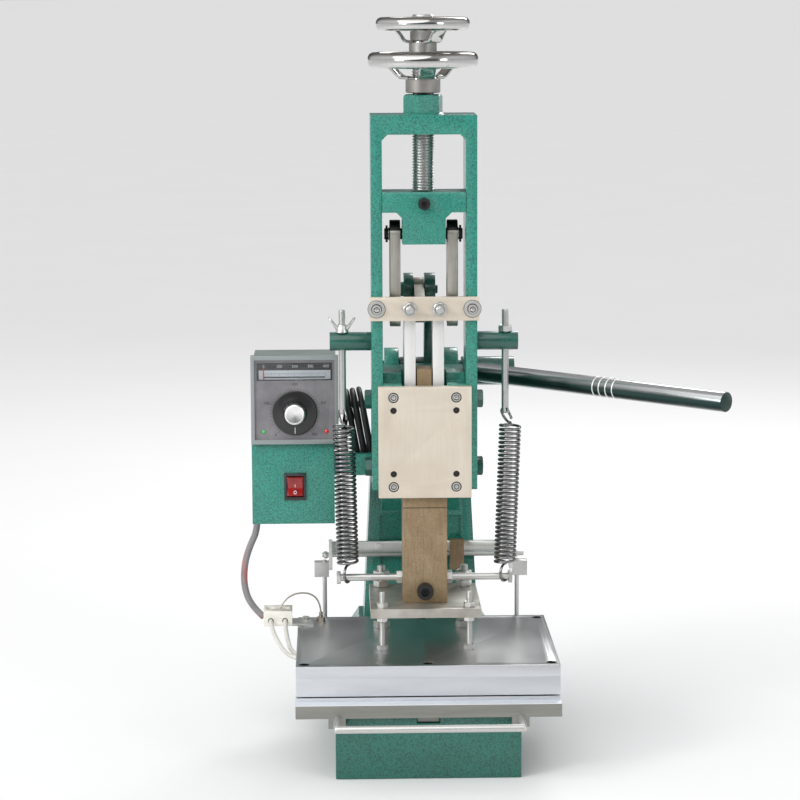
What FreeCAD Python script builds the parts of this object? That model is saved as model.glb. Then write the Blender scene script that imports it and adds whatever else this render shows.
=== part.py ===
import FreeCAD, Part
import math
import os
import re
import Sketcher

os.makedirs("parts", exist_ok=True)
doc = FreeCAD.newDocument("hot_foil_stamper")
V = FreeCAD.Vector
Turn = FreeCAD.Rotation

# ---------------------------------------------------------------- driving dimensions, mm
# Frame: X to the operator's right, Y away from the operator, Z up from the bench.
# The ram axis is X = Y = 0. The model is drawn with the toggle straight, the platen down.
DIMS = [
    ("base_half", 98.5), ("base_front", -118.0), ("base_back", 215.0), ("base_top", 69.0),
    ("base_wall", 12.0), ("riser_front", 126.0), ("riser_top", 112.0),
    ("column_front", 130.0), ("column_back", 212.0), ("column_low_half", 66.0),
    ("column_top_half", 55.5), ("column_top", 360.0),
    ("jaw_half", 44.6), ("slot_half", 24.1), ("jaw_front", -24.2), ("head_bottom", 287.0),
    ("head_top", 409.0), ("pad_top", 418.5), ("pad_back", 65.0),
    ("cheek_thick", 12.1), ("cheek_bottom", 294.0), ("cheek_top", 696.6), ("bar_bottom", 676.0),
    ("cheek_back", 36.0), ("cover_thick", 10.0), ("cross_thick", 5.8), ("cross_height", 491.0),
    ("platen_half", 140.0), ("platen_deep", 115.0), ("platen_top", 122.0), ("seam_height", 109.3),
    ("platen_bottom", 89.5), ("die_thick", 4.0), ("tray_top", 84.0), ("tray_bottom", 69.5),
    ("tray_front", -131.0), ("tray_half", 140.5), ("handle_reach", -175.0), ("handle_radius", 4.0),
    ("hanger_half", 59.7), ("hanger_bottom", 159.0), ("hanger_top", 169.0),
    ("ram_half", 24.0), ("ram_shoulder", 380.0), ("tongue_half", 8.0), ("tongue_top", 424.0),
    ("pin_high", 569.0), ("link_length", 85.0), ("link_half", 15.0), ("pin_radius", 6.0),
    ("run_gap", 0.05), ("screw_radius", 12.0), ("screw_top", 802.0),
    ("slider_half", 44.5), ("slider_low", 593.5), ("slider_top", 615.0), ("stem_half", 23.0),
    ("stem_bottom", 559.5), ("pivot_back", 100.0), ("pivot_height", 406.0),
    ("fork_back", 75.0), ("fork_height", 501.0), ("shaft_radius", 12.0), ("hub_radius", 16.0),
    ("tube_radius", 10.5), ("spring_out", 88.0), ("spring_radius", 10.3), ("wire_radius", 1.2),
    ("spring_low", 210.2), ("spring_split", 310.2), ("spring_high", 360.8),
    ("stub_height", 453.0), ("stub_radius", 10.0), ("bolt_height", 193.0),
    ("box_left", -188.3), ("box_right", -97.3), ("box_front", 44.0), ("box_back", 104.0),
    ("box_bottom", 244.5), ("box_top", 335.0), ("sheet_thick", 1.5),
    ("meter_left", -188.4), ("meter_size", 96.0), ("meter_top", 433.0), ("meter_front", 36.0),
    ("dial_across", -140.2), ("dial_height", 369.6), ("rocker_across", -140.9),
    ("rocker_height", 286.5),
    ("bar_height", 201.0), ("foil_height", 193.0), ("foil_back", 120.8), ("drop_across", 109.5),
    ("drop_back", 121.0), ("cord_radius", 3.0), ("cable_radius", 3.75),
]
sheet = doc.addObject("Spreadsheet::Sheet", "dims")
for row, (alias, value) in enumerate(DIMS, 1):
    sheet.set("A%d" % row, alias)
    sheet.set("B%d" % row, str(value))
    sheet.setAlias("B%d" % row, alias)
doc.recompute()
D = dict(DIMS)
finals = []


# ---------------------------------------------------------------- helpers
def formula(text):
    """Point every dimension name in a formula at the sheet."""
    return re.sub(r"[a-z]+(?:_[a-z]+)+", lambda found: "dims." + found.group(0), str(text))


def bind(obj, prop, value):
    obj.setExpression(prop, formula(value))


def put(obj, at, turn=None):
    obj.Placement = FreeCAD.Placement(V(0, 0, 0), turn or Turn())
    for letter, value in zip("xyz", at):
        bind(obj, "Placement.Base." + letter, value)
    return obj


ALONG = {"X": Turn(V(0, 1, 0), 90), "Y": Turn(V(1, 0, 0), -90), "Z": Turn()}


def block(name, x, y, z):
    """A box given by its three spans."""
    obj = doc.addObject("Part::Box", name)
    for prop, span in (("Length", x), ("Width", y), ("Height", z)):
        bind(obj, prop, "(%s) - (%s)" % (span[1], span[0]))
    return put(obj, (x[0], y[0], z[0]))


def rod(name, at, axis, length, radius):
    """A cylinder from a point, along a row axis."""
    obj = doc.addObject("Part::Cylinder", name)
    bind(obj, "Radius", radius)
    bind(obj, "Height", length)
    return put(obj, at, ALONG[axis])


def stick(name, start, end, radius):
    """A cylinder between two points."""
    obj = doc.addObject("Part::Cylinder", name)
    line = V(*end) - V(*start)
    bind(obj, "Radius", radius)
    bind(obj, "Height", line.Length)
    return put(obj, start, Turn(V(0, 0, 1), line))


def hexagon(name, at, axis, length, corner_radius):
    obj = doc.addObject("Part::Prism", name)
    obj.Polygon = 6
    bind(obj, "Circumradius", corner_radius)
    bind(obj, "Height", length)
    return put(obj, at, ALONG[axis])


def ring(name, at, axis, big, small):
    obj = doc.addObject("Part::Torus", name)
    bind(obj, "Radius1", big)
    bind(obj, "Radius2", small)
    return put(obj, at, ALONG[axis])


def ball(name, at, radius):
    obj = doc.addObject("Part::Sphere", name)
    bind(obj, "Radius", radius)
    return put(obj, at)


def taper(name, z, low, high):
    """A four-sided block narrowing from its lower (x0, x1, y0, y1) to its upper one."""
    obj = doc.addObject("Part::Wedge", name)
    bind(obj, "Ymin", z[0])
    bind(obj, "Ymax", z[1])
    for prefix, sides in (("", low), ("2", high)):
        first = "X2" if prefix else "X"
        other = "Z2" if prefix else "Z"
        bind(obj, first + "min", sides[0])
        bind(obj, first + "max", sides[1])
        bind(obj, other + "min", "-(%s)" % sides[3])
        bind(obj, other + "max", "-(%s)" % sides[2])
    obj.Placement = FreeCAD.Placement(V(0, 0, 0), Turn(V(1, 0, 0), 90))
    return obj


def fuse(name, *shapes):
    obj = doc.addObject("Part::MultiFuse", name)
    obj.Shapes = list(shapes)
    obj.Refine = True
    return obj


def cut(name, base, *tools):
    obj = doc.addObject("Part::Cut", name)
    obj.Base = base
    obj.Tool = tools[0] if len(tools) == 1 else fuse(name + "_tools", *tools)
    return obj


def group(name, *shapes):
    """Separate solids that belong to one named set, such as identical fasteners."""
    obj = doc.addObject("Part::Compound", name)
    obj.Links = list(shapes)
    return obj


def hose(name, points, radius):
    """A round cord or cable: straight runs through a route's points, joined by tangent arcs."""
    route = [V(*point) for point in points]
    edges = []
    radii = []
    here = route[0]
    for before, corner, after in zip(route, route[1:], route[2:]):
        arriving = (corner - before).normalize()
        leaving = (after - corner).normalize()
        half_turn = arriving.getAngle(leaving) / 2
        tangent = 0.45 * min((corner - before).Length, (after - corner).Length)
        bend = tangent / math.tan(half_turn)
        inward = (leaving - arriving).normalize()
        start = corner - arriving * tangent
        end = corner + leaving * tangent
        middle = corner + inward * (bend / math.cos(half_turn) - bend)
        edges.append(Part.LineSegment(here, start).toShape())
        edges.append(Part.Arc(start, middle, end).toShape())
        radii.append(round(bend, 1))
        here = end
    edges.append(Part.LineSegment(here, route[-1]).toShape())
    path = Part.Wire(edges)
    profile = Part.Wire(Part.makeCircle(radius, route[0], route[1] - route[0]))
    obj = doc.addObject("Part::Feature", name)
    obj.Shape = path.makePipeShell([profile], True, False)
    share = obj.Shape.Volume / (math.pi * radius * radius * path.Length)
    print("%s: %.0f mm long, bends %s, volume ratio %.3f" % (name, path.Length, radii, share))
    return obj


def coil(name, at, radius, wire, height, turns):
    """A helical length of spring wire standing on a point."""
    helix = Part.makeHelix(height / turns, height, radius)
    rise = V(0, radius, height / turns / 2 / math.pi)
    profile = Part.Wire(Part.makeCircle(wire, V(radius, 0, 0), rise))
    obj = doc.addObject("Part::Feature", name)
    obj.Shape = Part.Wire(helix).makePipeShell([profile], True, True)
    obj.Placement = FreeCAD.Placement(V(*at), Turn())
    return obj


def new_body(name):
    return doc.addObject("PartDesign::Body", name)


def sketch_on(body, name, plane, offset):
    """A sketch on one of the body's planes, moved along that plane's normal."""
    sketch = body.newObject("Sketcher::SketchObject", name)
    support = [item for item in body.Origin.OriginFeatures if item.Role == plane + "_Plane"][0]
    sketch.AttachmentSupport = [(support, "")]
    sketch.MapMode = "FlatFace"
    bind(sketch, "AttachmentOffset.Base.z", offset)
    return sketch


def pin_down(sketch, geometry, point, across, up):
    """Tie one sketch point to two formulas, measured from the origin."""
    for kind, text in (("DistanceX", across), ("DistanceY", up)):
        value = float(eval_number(text))
        index = sketch.addConstraint(Sketcher.Constraint(kind, -1, 1, geometry, point, value))
        bind(sketch, "Constraints[%d]" % index, text)


def eval_number(text):
    """The present value of a formula, read from the sheet's numbers."""
    reader = doc.getObject("reader") or doc.addObject("Part::Vertex", "reader")
    reader.setExpression("X", formula(text))
    doc.recompute([reader])
    return reader.X.Value


def polygon(sketch, corners):
    """A closed outline whose corners are all tied to formulas."""
    first = sketch.GeometryCount
    places = [V(eval_number(a), eval_number(b), 0) for a, b in corners]
    count = len(places)
    for step in range(count):
        sketch.addGeometry(Part.LineSegment(places[step], places[(step + 1) % count]))
    for step in range(count):
        following = first + (step + 1) % count
        sketch.addConstraint(Sketcher.Constraint("Coincident", first + step, 2, following, 1))
    for step, (across, up) in enumerate(corners):
        pin_down(sketch, first + step, 1, across, up)


def circles(sketch, centres, radius):
    for across, up in centres:
        where = V(eval_number(across), eval_number(up), 0)
        size = eval_number(radius)
        index = sketch.addGeometry(Part.Circle(where, V(0, 0, 1), size))
        pin_down(sketch, index, 3, across, up)
        number = sketch.addConstraint(Sketcher.Constraint("Radius", index, size))
        bind(sketch, "Constraints[%d]" % number, radius)


def pad(body, name, sketch, length):
    feature = body.newObject("PartDesign::Pad", name)
    feature.Profile = sketch
    bind(feature, "Length", length)
    sketch.Visibility = False
    body.Tip = feature
    return feature


def pocket(body, name, sketch, depth):
    feature = body.newObject("PartDesign::Pocket", name)
    feature.Profile = sketch
    bind(feature, "Length", depth)
    sketch.Visibility = False
    body.Tip = feature
    return feature


def rectangle(x0, x1, y0, y1):
    return [(x0, y0), (x1, y0), (x1, y1), (x0, y1)]


def finish(label, obj):
    obj.Label = label
    finals.append(obj)
    return obj


# ---------------------------------------------------------------- cast C-frame
base_block = block("base_block", ("-base_half", "base_half"), ("base_front", "base_back"),
                   (0, "base_top"))
riser = taper("riser", ("base_top", "riser_top"),
              ("-base_half", "base_half", "riser_front", "base_back"),
              ("-column_low_half - 4", "column_low_half + 4", "column_front - 2", "column_back + 2"))
column = taper("column", ("riser_top - 15", "column_top"),
               ("-column_low_half", "column_low_half", "column_front", "column_back"),
               ("-column_top_half + 3", "column_top_half - 3", "column_front", "column_back - 10"))
head = block("head", ("-jaw_half", "jaw_half"), ("jaw_front", 170), ("head_bottom", "head_top"))
throat = taper("throat", ("head_bottom - 45", "head_bottom"),
               ("-jaw_half", "jaw_half", "column_front", 170),
               ("-jaw_half", "jaw_half", "column_front - 45", 170))
pad_flat = block("pad_flat", ("-jaw_half", "jaw_half"), (0, "pad_back"), ("head_top", "pad_top"))
pad_nose = rod("pad_nose", (0, "pad_back - 30", "head_top"), "Z", "pad_top - head_top", 40)
ears = []
for name, start in (("left_ear", -41), ("right_ear", 25)):
    ears.append(rod(name, (start, "pivot_back", "pivot_height"), "X", 16, 26.5))
    ears.append(block(name + "_root", (start, start + 16), (66, 134), (360, "pivot_height")))
solid_frame = fuse("solid_frame", base_block, riser, column, head, throat, pad_flat, pad_nose, *ears)
base_hollow = block("base_hollow", ("-base_half + base_wall", "base_half - base_wall"),
                    ("base_front + base_wall", "base_back - base_wall"), (8, 50))
column_hollow = taper("column_hollow", (40, 345),
                      (-50, 50, "column_front + 14", "column_back - 12"),
                      (-39, 39, "column_front + 14", "column_back - 24"))
ram_slot = block("ram_slot", ("-slot_half", "slot_half"), ("jaw_front - 1", "slot_half + 0.1"),
                 (280, 430))
hub_slot = block("hub_slot", (-25, 25), (76, 138), (386, 440))
key_groove = block("key_groove", (-12.2, 12.2), ("base_front - 1", 118), (60.5, 70))
column_face = block("column_face", (-46, 46), ("column_front - 5", "column_front + 4"), (142, 235))
shaft_bore = rod("shaft_bore", (-60, "pivot_back", "pivot_height"), "X", 120,
                 "shaft_radius + run_gap")
finish("casting", cut("casting_cut", solid_frame, base_hollow, column_hollow, ram_slot, hub_slot,
                      key_groove, column_face, shaft_bore))

# ---------------------------------------------------------------- cheek frame and its plates
cheeks = new_body("cheeks")
outline = sketch_on(cheeks, "cheek_outline", "XZ", "-cheek_back")
polygon(outline, [
    ("-jaw_half - cheek_thick", "cheek_bottom"), ("-jaw_half - cheek_thick", "cheek_top"),
    ("jaw_half + cheek_thick", "cheek_top"), ("jaw_half + cheek_thick", "cheek_bottom"),
    ("jaw_half", "cheek_bottom"), ("jaw_half", "bar_bottom - 6"), ("jaw_half - 6", "bar_bottom"),
    ("-jaw_half + 6", "bar_bottom"), ("-jaw_half", "bar_bottom - 6"), ("-jaw_half", "cheek_bottom")])
pad(cheeks, "cheek_pad", outline, "cheek_back - jaw_front")
screw_way = sketch_on(cheeks, "screw_way", "XY", "cheek_top")
circles(screw_way, [("0.0", "0.0")], "screw_radius + run_gap")
pocket(cheeks, "screw_hole", screw_way, "cheek_top - bar_bottom + 1")
finish("cheek_frame", cheeks)

cover = new_body("cover")
cover_outline = sketch_on(cover, "cover_outline", "XZ", "-jaw_front")
polygon(cover_outline, rectangle("-50", "50", "head_bottom", "head_top - 1.5"))
pad(cover, "cover_pad", cover_outline, "cover_thick")
cover_screw_spots = [(x, z) for x in ("-33.7", "33.7") for z in ("396.0", "299.0")]
recess = sketch_on(cover, "recess", "XZ", "-jaw_front + cover_thick")
circles(recess, cover_screw_spots, "5.6")
pocket(cover, "recess_pocket", recess, "6.2")
through = sketch_on(cover, "through", "XZ", "-jaw_front + cover_thick")
circles(through, cover_screw_spots, "3.3")
pocket(cover, "through_pocket", through, "cover_thick + 1")
spare = sketch_on(cover, "spare", "XZ", "-jaw_front + cover_thick")
circles(spare, [(x, z) for x in ("-33.7", "33.7") for z in ("382.0", "313.0")], "3.5")
pocket(cover, "spare_pocket", spare, "cover_thick - 1")
finish("cover_plate", cover)

cross = new_body("cross")
cross_outline = sketch_on(cross, "cross_outline", "XZ", "-jaw_front")
polygon(cross_outline, rectangle("-58.5", "58.5", "cross_height - 12.7", "cross_height + 12.7"))
pad(cross, "cross_pad", cross_outline, "cross_thick")
cross_holes = sketch_on(cross, "cross_holes", "XZ", "-jaw_front + cross_thick")
circles(cross_holes, [("-51.2", "cross_height"), ("51.2", "cross_height")], "3.3")
pocket(cross, "cross_hole_pocket", cross_holes, "cross_thick + 1")
stud_holes = sketch_on(cross, "stud_holes", "XZ", "-jaw_front + cross_thick")
circles(stud_holes, [("-16.0", "cross_height"), ("16.0", "cross_height")], "4.0")
pocket(cross, "stud_hole_pocket", stud_holes, "cross_thick + 1")
finish("cross_plate", cross)


def cap_screw(name, x, z, head_front, shank, head_radius, shank_radius):
    """A socket-head screw lying along Y, its head at the front."""
    top = rod(name + "_head", (x, head_front, z), "Y", shank_radius * 2, head_radius)
    stem = rod(name + "_stem", (x, head_front, z), "Y", shank, shank_radius)
    socket = hexagon(name + "_socket", (x, "(%s) - 1" % head_front, z), "Y",
                     shank_radius + 1, shank_radius)
    return cut(name, fuse(name + "_solid", top, stem), socket)


screws = []
for number, (x, z) in enumerate(cover_screw_spots):
    screws.append(cap_screw("cover_screw_%d" % number, x, z, "jaw_front - cover_thick + 0.2",
                            24, 5.0, 3.0))
for number, x in enumerate((-51.2, 51.2)):
    washer = rod("washer_disc_%d" % number, (x, "jaw_front - cross_thick - 1.6", "cross_height"),
                 "Y", 1.6, 9)
    screw = cap_screw("cross_screw_%d" % number, x, "cross_height",
                      "jaw_front - cross_thick - 7.6", 26, 5.0, 3.0)
    screws.append(fuse("cross_screw_set_%d" % number, washer, screw))
finish("plate_screws", group("plate_screw_set", *screws))

studs = []
for number, x in enumerate((-16, 16)):
    stem = rod("stop_stem_%d" % number, (x, -48, "cross_height"), "Y", 32.7, 4)
    nut = hexagon("stop_nut_%d" % number, (x, "jaw_front - cross_thick - 6.5", "cross_height"), "Y",
                  6.5, 7.5)
    washer = rod("stop_washer_%d" % number, (x, "jaw_front - cross_thick - 1.2", "cross_height"),
                 "Y", 1.2, 8)
    studs.append(fuse("stop_stud_%d" % number, stem, nut, washer))
finish("stop_studs", group("stop_stud_set", *studs))

bolts = []
for number, (side, z) in enumerate([(1, 389), (1, 315), (-1, 389), (-1, 315)]):
    out = "jaw_half + cheek_thick"
    start = out + " - 20" if side > 0 else "-(%s) - 7.5" % out
    head_at = out if side > 0 else "-(%s) - 7.5" % out
    stem = rod("cheek_stem_%d" % number, (start, 5, z), "X", 27.5, 6)
    top = hexagon("cheek_head_%d" % number, (head_at, 5, z), "X", 7.5, 10.4)
    bolts.append(fuse("cheek_bolt_%d" % number, stem, top))
finish("cheek_bolts", group("cheek_bolt_set", *bolts))

nut_body = hexagon("nut_body", (0, 0, "cheek_top"), "Z", 21, 20)
nut_bore = rod("nut_bore", (0, 0, "cheek_top - 1"), "Z", 23, "screw_radius + run_gap")
finish("top_nut", cut("nut_cut", nut_body, nut_bore))

# ---------------------------------------------------------------- spring hangers and springs
stubs = []
eyes = []
for side, name in ((-1, "left"), (1, "right")):
    inner = "jaw_half + cheek_thick"
    start = inner if side > 0 else "-101.5"
    across = "%d * spring_out" % side
    arm = rod(name + "_stub", (start, 0, "stub_height"), "X", "101.5 - (%s)" % inner, "stub_radius")
    way = rod(name + "_stub_way", (across, 0, "stub_height - 12"), "Z", 24, 4.2)
    stubs.append(cut(name + "_stub_cut", arm, way))
    shank = rod(name + "_eye_shank", (across, 0, 385), "Z", 102, 4)
    loop = ring(name + "_eye_loop", (across, 0, 378), "Y", 7, 2.5)
    eyes.append(fuse(name + "_eye_bolt", shank, loop))
finish("spring_stubs", group("stub_pair", *stubs))
side_nut = hexagon("side_nut", ("spring_out", 0, "stub_height + stub_radius"), "Z", 6.5, 7.5)
side_nut_bore = rod("side_nut_bore", ("spring_out", 0, "stub_height"), "Z", 30, 4)
eyes.append(cut("side_nut_cut", side_nut, side_nut_bore))
finish("eye_bolts", group("eye_bolt_set", *eyes))

boss = doc.addObject("Part::Cone", "wing_boss")
bind(boss, "Radius1", 7)
bind(boss, "Radius2", 5)
bind(boss, "Height", 8)
put(boss, ("-spring_out", 0, "stub_height + stub_radius"))
wings = [boss]
for side in (-1, 1):
    wing = block("wing_blade", (0, 3), (-5, 5), (0, 17))
    lean = Turn(V(0, 1, 0), side * 35)
    put(wing, ("-spring_out + %d" % (side * 6 - 1), -5, "stub_height + stub_radius + 3"), lean)
    wings.append(wing)
wing_bore = rod("wing_bore", ("-spring_out", 0, "stub_height"), "Z", 30, "4 + run_gap")
finish("wing_nut", cut("wing_nut_cut", fuse("wing_nut_solid", *wings), wing_bore))

PITCH = (D["spring_high"] - D["spring_low"]) / 30
upper_coils = []
lower_coils = []
for side, name in ((-1, "left"), (1, "right")):
    across = side * D["spring_out"]
    high = D["spring_high"] - D["spring_split"]
    low = D["spring_split"] - D["spring_low"]
    upper_coils.append(coil(name + "_high_coil", (across, 0, D["spring_split"]), D["spring_radius"],
                            D["wire_radius"], high, high / PITCH))
    lower_coils.append(coil(name + "_low_coil", (across, 0, D["spring_low"]), D["spring_radius"],
                            D["wire_radius"], low, low / PITCH))
    out = "%d * spring_out" % side
    upper_coils.append(ring(name + "_top_hook", (out, 0, 368.7), "X", 6, "wire_radius"))
    upper_coils.append(rod(name + "_top_bridge", (out, 0, "spring_high + 1"), "X",
                           "spring_radius", "wire_radius"))
    lower_coils.append(ring(name + "_low_hook", (out, 0, 193.8), "X", 6, "wire_radius"))
    lower_coils.append(rod(name + "_low_neck", (out, 0, 199.8), "Z", 9.6, "wire_radius"))
    lower_coils.append(rod(name + "_low_bridge", (out, 0, "spring_low - 1"), "X",
                           "spring_radius", "wire_radius"))
finish("spring_tops", group("spring_top_set", *upper_coils))
finish("spring_lows", group("spring_low_set", *lower_coils))

# ---------------------------------------------------------------- screw, slider and wheels
finish("adjust_screw", rod("screw_stem", (0, 0, "slider_low + 1"), "Z",
                           "screw_top - slider_low - 1", "screw_radius"))


def handwheel(name, rim_height, rim_ring, rim_wire, hub_low, hub_high, hub_radius, bore):
    """A rim, a hub and three dished spokes."""
    pieces = [ring(name + "_rim", (0, 0, rim_height), "Z", rim_ring, rim_wire),
              rod(name + "_hub", (0, 0, hub_low), "Z", "(%s) - (%s)" % (hub_high, hub_low), hub_radius)]
    middle = (hub_low + hub_high) / 2
    reach = rim_ring - hub_radius + 4
    climb = rim_height - middle
    span = math.hypot(reach, climb)
    for number in range(3):
        spoke = block("%s_spoke_%d" % (name, number), (0, span), (0, 13), (0, 6))
        spin = Turn(V(0, 0, 1), 120 * number + 75)
        tilt = Turn(V(0, 1, 0), -math.degrees(math.atan2(climb, reach)))
        corner = spin.multVec(V(hub_radius - 4, -6.5, 0))
        put(spoke, (corner.x, corner.y, middle - 3), spin.multiply(tilt))
        pieces.append(spoke)
    hole = rod(name + "_bore", (0, 0, hub_low - 1), "Z", hub_high - hub_low + 12, bore)
    return cut(name + "_cut", fuse(name + "_solid", *pieces), hole)


finish("lock_wheel", handwheel("lower", 755.5, 52.25, 6.75, 719, 737, 19, "screw_radius + run_gap"))
finish("feed_wheel", handwheel("upper", 794.5, 43.5, 6.5, 766, 779, 15, "screw_radius"))

slider_bar = block("slider_bar", ("-slider_half", "slider_half"), (-25, 25),
                   ("slider_low", "slider_top"))
stem = block("slider_stem", ("-stem_half", "stem_half"), (-25, 25), ("stem_bottom", "slider_low"))
fillets = []
for side in (-1, 1):
    web = block("slider_web", (0, 9), (0, 50), (0, 9))
    put(web, ("%d * stem_half - 6.4" % side, -25, "slider_low"), Turn(V(0, 1, 0), 45))
    fillets.append(web)
slider_solid = fuse("slider_solid", slider_bar, stem, *fillets)
slider_bore = rod("slider_bore", (0, 0, "slider_low"), "Z", 40, "screw_radius + run_gap")
pin_hole = rod("slider_pin_hole", (-30, 0, "pin_high"), "X", 60, "pin_radius")
grub_hole = rod("grub_hole", (0, -30, 603), "Y", 17, 4)
finish("slider_block", cut("slider_cut", slider_solid, slider_bore, pin_hole, grub_hole))
finish("slider_screw", cap_screw("grub", "0", "603", "-33", 19, 6.5, 4.0))


top_pin = rod("top_pin_stem", (-42, 0, "pin_high"), "X", 84, "pin_radius")
clips = [rod("top_clip_%d" % side, (side * 39.5, 0, "pin_high - 9"), "Z", 18, 1.2)
         for side in (-1, 1)]
finish("top_pin", fuse("top_pin_solid", top_pin, *clips))


# ---------------------------------------------------------------- toggle links
def link(name, start, thick, upper, lower, upper_bore, lower_bore):
    """One flat bar with a round eye at each end."""
    pieces = [rod(name + "_eye_a", (start, 0, upper), "X", thick, "link_half"),
              rod(name + "_eye_b", (start, 0, lower), "X", thick, "link_half"),
              block(name + "_bar", (start, "(%s) + (%s)" % (start, thick)),
                    ("-link_half", "link_half"), (lower, upper))]
    holes = [rod(name + "_bore_a", ("(%s) - 1" % start, 0, upper), "X", "(%s) + 2" % thick, upper_bore),
             rod(name + "_bore_b", ("(%s) - 1" % start, 0, lower), "X", "(%s) + 2" % thick, lower_bore)]
    return cut(name, fuse(name + "_solid", *pieces), *holes)


KNEE = "pin_high - link_length"
FOOT = "pin_high - 2 * link_length"
LOOSE = "pin_radius + run_gap"
finish("upper_links", group("upper_link_pair",
                            link("upper_left", -36.5, 11.5, "pin_high", KNEE, LOOSE, "pin_radius"),
                            link("upper_right", 25, 11.5, "pin_high", KNEE, LOOSE, "pin_radius")))
finish("knee_pins", group("knee_pin_pair",
                          rod("left_knee", (-40, 0, KNEE), "X", 30.5, "pin_radius"),
                          rod("right_knee", (9.5, 0, KNEE), "X", 30.5, "pin_radius")))
finish("lower_links", group("lower_link_pair",
                            link("lower_left", -21.3, 12, KNEE, FOOT, LOOSE, LOOSE),
                            link("lower_right", 9.3, 12, KNEE, FOOT, LOOSE, LOOSE)))

# ---------------------------------------------------------------- ram, hanger plate and studs
ram_block = block("ram_block", ("-ram_half", "ram_half"), ("-ram_half", "ram_half"),
                  ("hanger_top", "ram_shoulder"))
tongue = block("tongue", ("-tongue_half", "tongue_half"), ("-link_half", "link_half"),
               ("ram_shoulder", "tongue_top"))
foot_hole = rod("foot_hole", (-30, 0, FOOT), "X", 60, "pin_radius")
finish("ram", cut("ram_cut", fuse("ram_solid", ram_block, tongue), foot_hole))
finish("ram_pin", rod("ram_pin_stem", (-21.2, 0, FOOT), "X", 42.4, "pin_radius"))

FRONT_STUDS = [(-47, -42), (47, -42)]
REAR_STUDS = [(-46, 62), (46, 62)]
hanger = new_body("hanger")
hanger_outline = sketch_on(hanger, "hanger_outline", "XY", "hanger_bottom")
polygon(hanger_outline, rectangle("-hanger_half", "hanger_half", "-53.0", "75.0"))
pad(hanger, "hanger_pad", hanger_outline, "hanger_top - hanger_bottom")
for name, spots, radius in (("front_ways", FRONT_STUDS, "3.2"), ("rear_ways", REAR_STUDS, "5.2")):
    ways = sketch_on(hanger, name, "XY", "hanger_top")
    circles(ways, [(str(float(x)), str(float(y))) for x, y in spots], radius)
    pocket(hanger, name + "_pocket", ways, "hanger_top - hanger_bottom + 1")
finish("hanger_plate", hanger)

fixings = []
for number, (x, y, radius, corner, thick, top) in enumerate(
        [spot + (3, 5.8, 5, 186) for spot in FRONT_STUDS]
        + [spot + (5, 9.2, 8, 193) for spot in REAR_STUDS]):
    stack = [rod("stud_%d" % number, (x, y, "platen_top - 10"), "Z", "%d - platen_top + 10" % top,
                 radius)]
    levels = ["platen_top", "hanger_bottom - %d" % thick, "hanger_top"]
    if thick == 8:
        levels.append("hanger_top + 10")
    for step, level in enumerate(levels):
        stack.append(hexagon("stud_nut_%d_%d" % (number, step), (x, y, level), "Z", thick, corner))
    fixings.append(fuse("stud_set_%d" % number, *stack))
for side in (-1, 1):
    name = "side_bolt_%d" % side
    start = 12 if side > 0 else -95
    pieces = [rod(name + "_stem", (start, 0, "bolt_height"), "X", 83, 4)]
    for step, (inner, wide) in enumerate(((24, 6.5), (91.5, 5))):
        near = inner if side > 0 else -inner - wide
        pieces.append(hexagon("%s_nut_%d" % (name, step), (near, 0, "bolt_height"), "X", wide, 7.5))
    fixings.append(fuse(name, *pieces))
fixings.append(cap_screw("ram_front_screw", "0", "183", "-36", 30, 9.0, 6.0))
finish("ram_fixings", group("ram_fixing_set", *fixings))

# ---------------------------------------------------------------- heated platen
PLATEN_SPOTS = [(x, y) for x in ("-131.0", "131.0") for y in ("-104.0", "104.0")]
PLATEN_SPOTS += [("0.0", "-104.0"), ("0.0", "104.0")]
platen = new_body("platen")
platen_outline = sketch_on(platen, "platen_outline", "XY", "seam_height")
polygon(platen_outline, rectangle("-platen_half", "platen_half", "-platen_deep", "platen_deep"))
pad(platen, "platen_pad", platen_outline, "platen_top - seam_height")
sinks = sketch_on(platen, "sinks", "XY", "platen_top")
circles(sinks, PLATEN_SPOTS, "5.5")
pocket(platen, "sink_pocket", sinks, "9.0")
finish("platen_top_plate", platen)

heater = new_body("heater")
heater_outline = sketch_on(heater, "heater_outline", "XY", "platen_bottom")
polygon(heater_outline, rectangle("-platen_half", "platen_half", "-platen_deep", "platen_deep"))
pad(heater, "heater_pad", heater_outline, "seam_height - platen_bottom")
ways = sketch_on(heater, "heater_ways", "YZ", "platen_half")
HEATERS = ("-70.0", "0.0", "70.0")
circles(ways, [(y, "99.5") for y in HEATERS], "5.05")
pocket(heater, "heater_way_pocket", ways, "2 * platen_half + 2")
finish("heater_plate", heater)
finish("heater_rods", group("heater_rod_set", *[
    rod("heater_rod_%d" % number, ("-platen_half + 1", y, 99.5), "X", "2 * platen_half - 2", 5)
    for number, y in enumerate(HEATERS)]))

tab_strip = block("tab_strip", (-178, -122), (72, 103), ("platen_top", "platen_top + 2"))
tab_screw = rod("tab_screw", (-131, 97, "platen_top"), "Z", 5, 4)
finish("terminal_tab", fuse("tab_solid", tab_strip, tab_screw))
ceramic = block("ceramic", (-178, -146), (64, 95), ("platen_top + 2", "platen_top + 19"))
wells = [rod("terminal_well_%d" % number, (x, 79.5, "platen_top + 12"), "Z", 10, 4.4)
         for number, x in enumerate((-170, -154))]
wire_ways = [rod("wire_way_%d" % number, (x, 60, "platen_top + 8"), "Y", 12, 3.2)
             for number, x in enumerate((-170, -154))]
finish("terminal_block", cut("terminal_cut", ceramic, *(wells + wire_ways)))
finish("heater_leads", group("heater_lead_pair",
                             hose("lead_a", [(-170, 68, 130), (-170, 50, 129), (-162, 34, 113),
                                             (-151, 24, 100), (-140, 20, 98)], 2.4),
                             hose("lead_b", [(-154, 68, 130), (-154, 56, 128), (-151, 46, 112),
                                             (-147, 38, 101), (-140, 35, 98)], 2.4)))
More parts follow.
